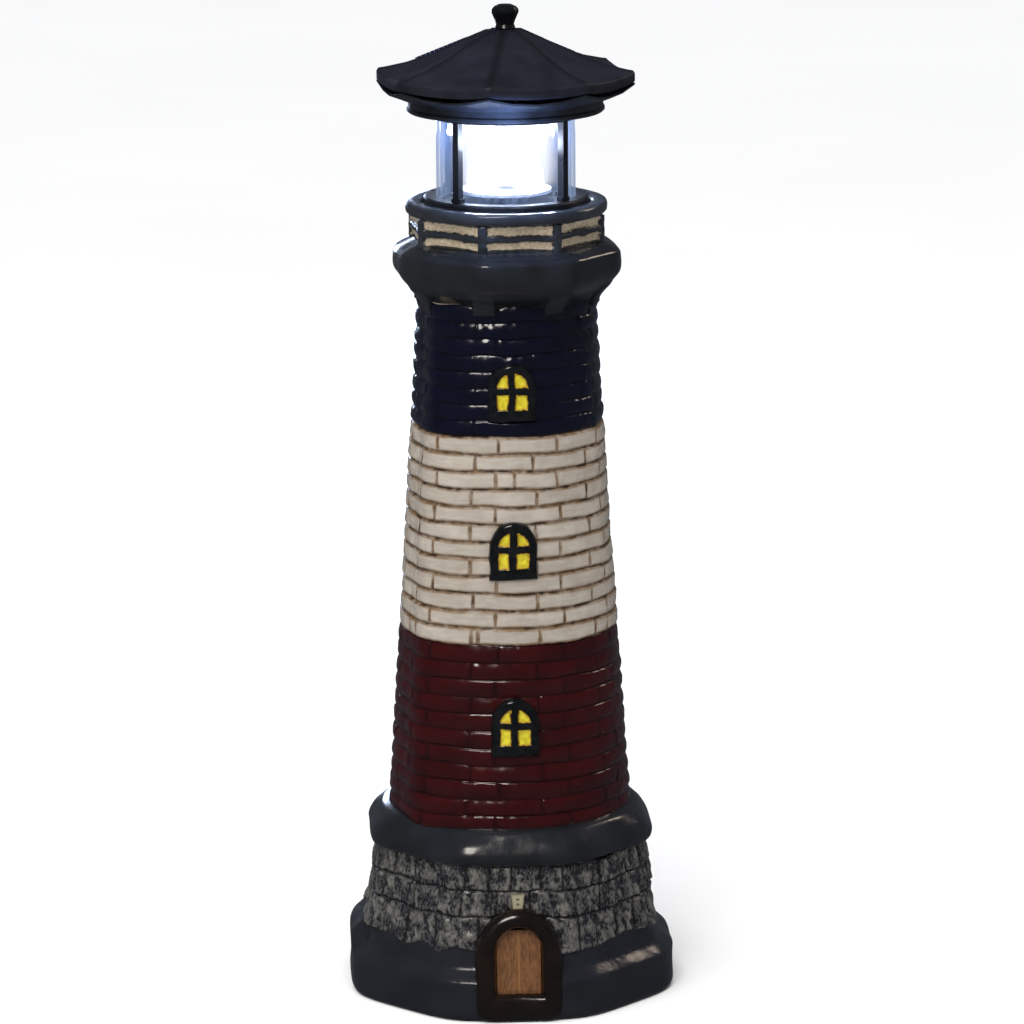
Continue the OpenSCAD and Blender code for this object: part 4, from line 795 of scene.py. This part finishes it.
for number, middle in enumerate(windows["heights"]):
    pieces.append(buildWindow(number, middle))
print("windows built")

porch = {
    "width": 32.0, "height": 41.0, "front": 62.3, "lean": 6.6, "sill": 9.9,
    "doorW": 17.0, "doorH": 24.2, "roll": 3.4,
}


# how far forward the porch's face stands at height z: upright to the sill, then leaning back
def porchFace(z):
    s = porch
    return s["front"] - s["lean"] * np.clip((z - s["sill"] - 1.5) / (s["height"] - s["sill"] - 1.5), 0, 1)


def buildPorch():
    s = porch

    def heightOf(uu, vv):
        outside = insideArch(uu, vv + 6, s["width"], s["height"] + 6, s["height"] * 0.46)
        outside = outside - 4.6 * (1 - rounded((vv + 0.4) / 6.0))
        door = insideArch(uu, vv - s["sill"], s["doorW"], s["doorH"], s["doorW"] * 0.48)
        wobble = 0.25 * softNoise(uu / 6, vv / 6, 111)
        # half-round tube from the outer edge (0) to the door's edge (1), and a dip behind the leaves
        share = np.clip(outside / np.maximum(outside - door, 0.01), 0, 1)
        tube = s["roll"] * (np.sqrt(np.maximum(0, 1 - (2 * share - 1) ** 2)) - 1)
        foot = -2.0 * (1 - rounded(vv / 3.0))
        rise = np.where(door > 0, -s["roll"] - 3.0 * ease(door / 0.5), tube) + wobble + foot
        rise = np.where(outside > 0, rise, -s["roll"] - 14.0 * ease(-outside / 0.6))
        # darker on the surround along the door's edge and in the pocket behind the leaves
        jointsAndShade = ease((door + 1.0) / 1.2) * 0.8
        return rise, {"joint": jointsAndShade}

    def placeOf(uu, vv, rise):
        return np.stack([uu, -(porchFace(vv) + rise), vv], axis=-1)

    wide = s["width"] + 1.4
    tall = s["height"] + 0.7
    return reliefPatch("porchSurround", wide, tall, 150, 190, heightOf, placeOf, paints["umber"], back=16.0)


def buildDoor():
    s = porch

    def heightOf(uu, vv):
        groove = np.exp(-((uu + 0.1) / 0.45) ** 2)
        rise = -s["roll"] - 0.7 - 0.45 * groove + 0.12 * softNoise(uu / 1.2, vv / 9, 121)
        return rise, {"joint": np.clip(groove * 0.8, 0, 1)}

    def placeOf(uu, vv, rise):
        z = vv + s["sill"] - 0.6
        return np.stack([uu, -(porchFace(z) + rise), z], axis=-1)

    wide, tall = s["doorW"] - 0.6, s["doorH"] - 0.4
    return reliefPatch("doorLeaves", wide, tall, 60, 60, heightOf, placeOf, paints["door"], back=5.0)


def buildPlaque():
    wide, tall, low = 5.6, 6.1, 40.4

    def heightOf(uu, vv):
        taper = 1.9 + 0.7 * vv / tall
        inside = np.minimum(np.minimum(taper - np.abs(uu), vv - 0.3), tall - 0.3 - vv)
        hole = np.minimum(np.hypot(uu, (vv - 4.0)), np.hypot(uu, (vv - 2.2))) - 0.42
        mark = 1 - ease((hole + 0.15) / 0.4)
        rise = np.where(inside > 0, 0.9 * rounded(inside / 0.6) - 0.5 * mark, -3.0 * ease(-inside / 0.2))
        # darker in its two holes and round its edge
        return rise, {"mark": np.clip(mark + (1 - ease(inside / 0.8)) * 0.6, 0, 1)}

    def placeOf(uu, vv, rise):
        z = vv + low
        return np.stack([uu, -(baseHalf(z) + 1.1 + rise), z], axis=-1)

    return reliefPatch("keystonePlaque", wide, tall, 50, 54, heightOf, placeOf, paints["plaque"])


pieces.extend([buildPorch(), buildDoor(), buildPlaque()])
for piece in pieces:
    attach(piece, "tower")
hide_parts("tower_casting")
print("porch built")

roof = {
    "turn": 12.0, "sharp": 70.0, "corner": 48.0, "capZ": 359.4, "eaveTopZ": 343.8, "eaveZ": 339.8,
    "sag": 1.2, "rib": 1.5, "ribHeight": 0.4,
}


def buildRoof(material):
    s = roof
    phi = np.linspace(-math.pi, math.pi, 720, endpoint=False)
    rise = s["capZ"] - s["eaveTopZ"]
    slopeR = np.array([0.05, 0.09, 0.154, 0.25, 0.361, 0.46, 0.565, 0.67, 0.768, 0.86, 0.943, 0.985])
    fallR = [0.05, 0.154, 0.361, 0.565, 0.768, 0.943, 1.0]
    slopeZ = np.interp(slopeR, fallR, [0.0, 0.07, 0.345, 0.64, 0.855, 0.975, 1.0])
    top = np.stack([slopeR * s["corner"], s["capZ"] - rise * slopeZ, slopeR ** 3 * s["sag"]], axis=1)
    c = s["corner"]
    fascia = np.array([
        [c - 0.2, s["eaveTopZ"] - 0.15, s["sag"]], [c + 0.05, s["eaveTopZ"] - 0.6, s["sag"]],
        [c + 0.05, s["eaveZ"] + 0.7, s["sag"]], [c - 0.3, s["eaveZ"] + 0.15, s["sag"]],
        [c - 1.2, s["eaveZ"], s["sag"]]])
    under = np.array([[c - 2.6, s["eaveZ"], s["sag"]], [c - 3.0, s["eaveZ"] + 1.4, s["sag"]]])
    inner = top[::-1][1:-1] - np.array([0, 2.2, 0])
    profile = np.vstack([top, fascia, under, inner, [[0.05 * c, s["capZ"] - 3.0, 0]]])[::-1]
    corner = 1 / math.cos(math.pi / 8)
    plan = octagon(s["turn"], s["sharp"], phi)[None, :]
    side = np.mod(phi - math.radians(s["turn"]) + math.pi / 8, math.pi / 4) - math.pi / 8
    along = (np.abs(side) / (math.pi / 8))[None, :]
    r = profile[:, :1] / corner * plan
    z = profile[:, 1:2] - profile[:, 2:3] * (1 - along ** 2)
    # rib on each ridge: a low arc of one width from cap to eave
    fromRidge = (math.pi / 8 - np.abs(side))[None, :] * r
    isTop = np.zeros((len(profile), 1))
    isTop[-len(top):] = 1
    ribArc = np.sqrt(np.clip(1 - (fromRidge / s["rib"]) ** 2, 0, 1))
    z = z + isTop * s["ribHeight"] * ribArc * ease((profile[:, :1] - 4) / 3)
    ridge = np.clip(1 - fromRidge / 2.4, 0, 1) * isTop
    return gridPiece("eightSidedRoof", onRound(r, phi[None, :], z), [material], attributes={"joint": ridge})


blackPlastic = moulded("blackAbsMoulded", "#101114", "#1b1c20", 0.32, 0.6, 0.03)
drumPlastic = moulded("drumAbsMoulded", "#15171c", "#20232a", 0.36, 0.6, 0.03)
roofPlastic = moulded("roofPolypropyleneMoulded", "#171922", "#1f212b", 0.5, 0.55, 0.05, specular=0.35)
finishes = {
    "lamp_cup": blackPlastic,
    "lantern_cage": blackPlastic,
    "light_drum": drumPlastic,
    "roof_shell": roofPlastic,
    "finial": moulded("finialAbsGloss", "#0c0d10", "#15161a", 0.22, 0.8, 0.02),
    "lens": clearPlastic("clearPolycarbonate"),
    "seat_ring": moulded("seatRingRubber", "#131313", "#1c1c1c", 0.75, 0.5, 0.05),
    "lamp_deck": moulded("deckAbsMoulded", "#1a1c20", "#25272c", 0.4),
    "deck_screws": metal("zincedSteelScrew", "#8d9093", "#b4b7ba", 0.32),
    "roof_screws": metal("zincedSteelRoofScrew", "#8d9093", "#b4b7ba", 0.32),
    "cover_screws": metal("zincedSteelCoverScrew", "#8d9093", "#b4b7ba", 0.32),
    "solar_cells": solarWafer("siliconCellInResin"),
    "led_board": moulded("whiteSolderMaskBoard", "#d9dcd6", "#eceee8", 0.35, 0.7, 0.02),
    "led": litCover("ledUnderResin", 6.0),
    "bulb_cover": litCover("frostedPolystyreneLit", 16.0),
    "beacon_turntable": moulded("turntableNylon", "#c9ccd2", "#dfe2e6", 0.4, 0.7, 0.03),
    "beacon_reflector": metal("vacuumPlatedReflector", "#dfe3ea", "#f4f6fa", 0.14, 3.0, (1.0, 1.0, 1.0)),
    "spindle": metal("turnedSteelSpindle", "#9a9c9f", "#bdbfc2", 0.22),
    "spindle_clip": metal("springSteelClip", "#6c6e72", "#8b8d91", 0.3),
    "pinion": metal("hobbedBrassPinion", "#a5813c", "#c79f55", 0.28),
    "motor_shaft": metal("groundSteelShaft", "#a1a3a6", "#c4c6c9", 0.18),
    "motor": metal("zincedMotorCan", "#9fa2a4", "#bcbfc1", 0.3, 0.8, (6.0, 6.0, 1.0)),
    "circuit_board": moulded("greenSolderMaskBoard", "#0f3a24", "#17492f", 0.3, 0.6, 0.03),
    "power_lead": moulded("pvcLeadCover", "#b8202a", "#cf2b35", 0.4, 0.6, 0.03),
    "battery": moulded("printedBatterySleeve", "#1f6b3a", "#2a7d46", 0.28, 0.8, 0.02),
    "battery_contacts": metal("nickelPlatedContact", "#b9b5a8", "#d3d0c4", 0.24),
    "battery_cover": moulded("coverAbsMoulded", "#16171a", "#202226", 0.4),
    "switch_body": moulded("switchNylonBody", "#24262a", "#303338", 0.45),
    "switch_knob": moulded("switchKnobAcetal", "#dcdcd6", "#ecece6", 0.4),
}
for node, material in finishes.items():
    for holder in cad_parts[node].material_slots:
        holder.material = material
roofPiece = buildRoof(roofPlastic)
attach(roofPiece, "lantern")
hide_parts("roof_shell")
print("lantern finished")

# lengths in metres, angles in degrees; axisX and liftPx are in pixels of the 1024 pixel picture
view = {
    "lens": 185.3, "away": 1.912, "height": 0.603, "azimuth": -3.0, "pitch": 12.5, "roll": -0.36,
    "axisX": 508.0, "liftPx": 1.2,
}


def buildCamera():
    data = bpy.data.cameras.new("photoCamera")
    camera = bpy.data.objects.new("photoCamera", data)
    scene.collection.objects.link(camera)
    azimuth = math.radians(view["azimuth"])
    data.sensor_width = 36.0
    data.lens = view["lens"]
    data.clip_start, data.clip_end = 0.1, 60.0
    data.shift_x = (512 - view["axisX"]) / 1024
    data.shift_y = -view["liftPx"] / 1024
    place = Vector((math.sin(azimuth) * view["away"], -math.cos(azimuth) * view["away"], view["height"]))
    turn = Matrix.Rotation(azimuth, 4, "Z") @ Matrix.Rotation(math.radians(90 - view["pitch"]), 4, "X")
    roll = Matrix.Rotation(math.radians(view["roll"]), 4, "Z")
    camera.matrix_world = Matrix.Translation(place) @ turn @ roll
    scene.camera = camera


def buildFloor():
    mesh = bpy.data.meshes.new("paleFloor")
    size = 14.0
    corners = [(-size, -size, 0), (size, -size, 0), (size, size, 0), (-size, size, 0)]
    mesh.from_pydata(corners, [], [(0, 1, 2, 3)])
    floor = bpy.data.objects.new("paleFloor", mesh)
    scene.collection.objects.link(floor)
    material, tree, place = startMaterial("paleFloor")
    cloud = add(tree, "TexNoise", {"Vector": place, "Scale": mm / 300, "Detail": 3})
    colour = add(tree, "Mix", {0: cloud, 6: "#f1f1f1", 7: "#f7f7f7"}, 2, data_type="RGBA")
    endMaterial(material, {"Base Color": colour, "Roughness": 0.9, "Specular IOR Level": 0.1})
    mesh.materials.append(material)
    floor.visible_glossy = False


# softbox aimed at the tower: azimuth from the door, elevation and distance in metres
def softbox(name, azimuth, elevation, distance, width, height, watts, colour, glossy=True):
    data = bpy.data.lights.new(name, "AREA")
    data.shape = "RECTANGLE"
    data.size, data.size_y = width, height
    data.energy = watts
    data.color = linear(colour)[:3]
    lamp = bpy.data.objects.new(name, data)
    scene.collection.objects.link(lamp)
    a, e = math.radians(azimuth), math.radians(elevation)
    aim = Vector((0, 0, 0.17))
    place = aim + distance * Vector((math.sin(a) * math.cos(e), -math.cos(a) * math.cos(e), math.sin(e)))
    turn = (aim - place).to_track_quat("-Z", "Y")
    lamp.matrix_world = Matrix.Translation(place) @ turn.to_matrix().to_4x4()
    lamp.visible_glossy = glossy


def buildLights():
    softbox("keyWindow", -19, 46, 1.5, 0.42, 0.34, 6.2, "#fff8f0")
    softbox("rightWindow", 119, 34, 1.5, 0.25, 0.3, 1.4, "#ffe9d4")
    softbox("leftRim", -172, 4, 1.5, 0.42, 0.35, 5, "#cfe0ff")
    softbox("frontFill", -42, 30, 3.0, 2.2, 2.2, 19, "#ffffff", glossy=False)
    sun = bpy.data.lights.new("overhead", "SUN")
    sun.energy = 3.15
    sun.angle = math.radians(70)
    lamp = bpy.data.objects.new("overhead", sun)
    scene.collection.objects.link(lamp)
    lamp.rotation_euler = (math.radians(8), math.radians(-6), 0)
    lamp.visible_glossy = False
    world = bpy.data.worlds.new("studio")
    scene.world = world
    world.use_nodes = True
    back = world.node_tree.nodes["Background"]
    back.inputs[0].default_value = linear("#c9d2e0")
    back.inputs[1].default_value = 0.1
    # the lamp's own light, from just outside its frosted cover
    for k in range(6):
        turn = math.radians(60 * k + 20)
        glow = bpy.data.lights.new(f"lanternGlow_{k}", "POINT")
        glow.energy = 0.1
        glow.color = linear("#d6e4ff")[:3]
        glow.shadow_soft_size = 0.003
        lamp = bpy.data.objects.new(f"lanternGlow_{k}", glow)
        scene.collection.objects.link(lamp)
        lamp.location = (0.0185 * math.sin(turn), -0.0185 * math.cos(turn), 0.318)
        lamp.visible_camera = False
        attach(lamp, "lantern")
    # its glare on the front of the drum
    glare = bpy.data.lights.new("drumGlare", "POINT")
    glare.energy = 0.15
    glare.color = linear("#a9c6ff")[:3]
    glare.shadow_soft_size = 0.004
    lamp = bpy.data.objects.new("drumGlare", glare)
    scene.collection.objects.link(lamp)
    lamp.location = (-0.003, -0.046, 0.322)
    lamp.visible_camera = lamp.visible_glossy = False
    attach(lamp, "lantern")


buildCamera()
buildFloor()
buildLights()
print("stage lit")
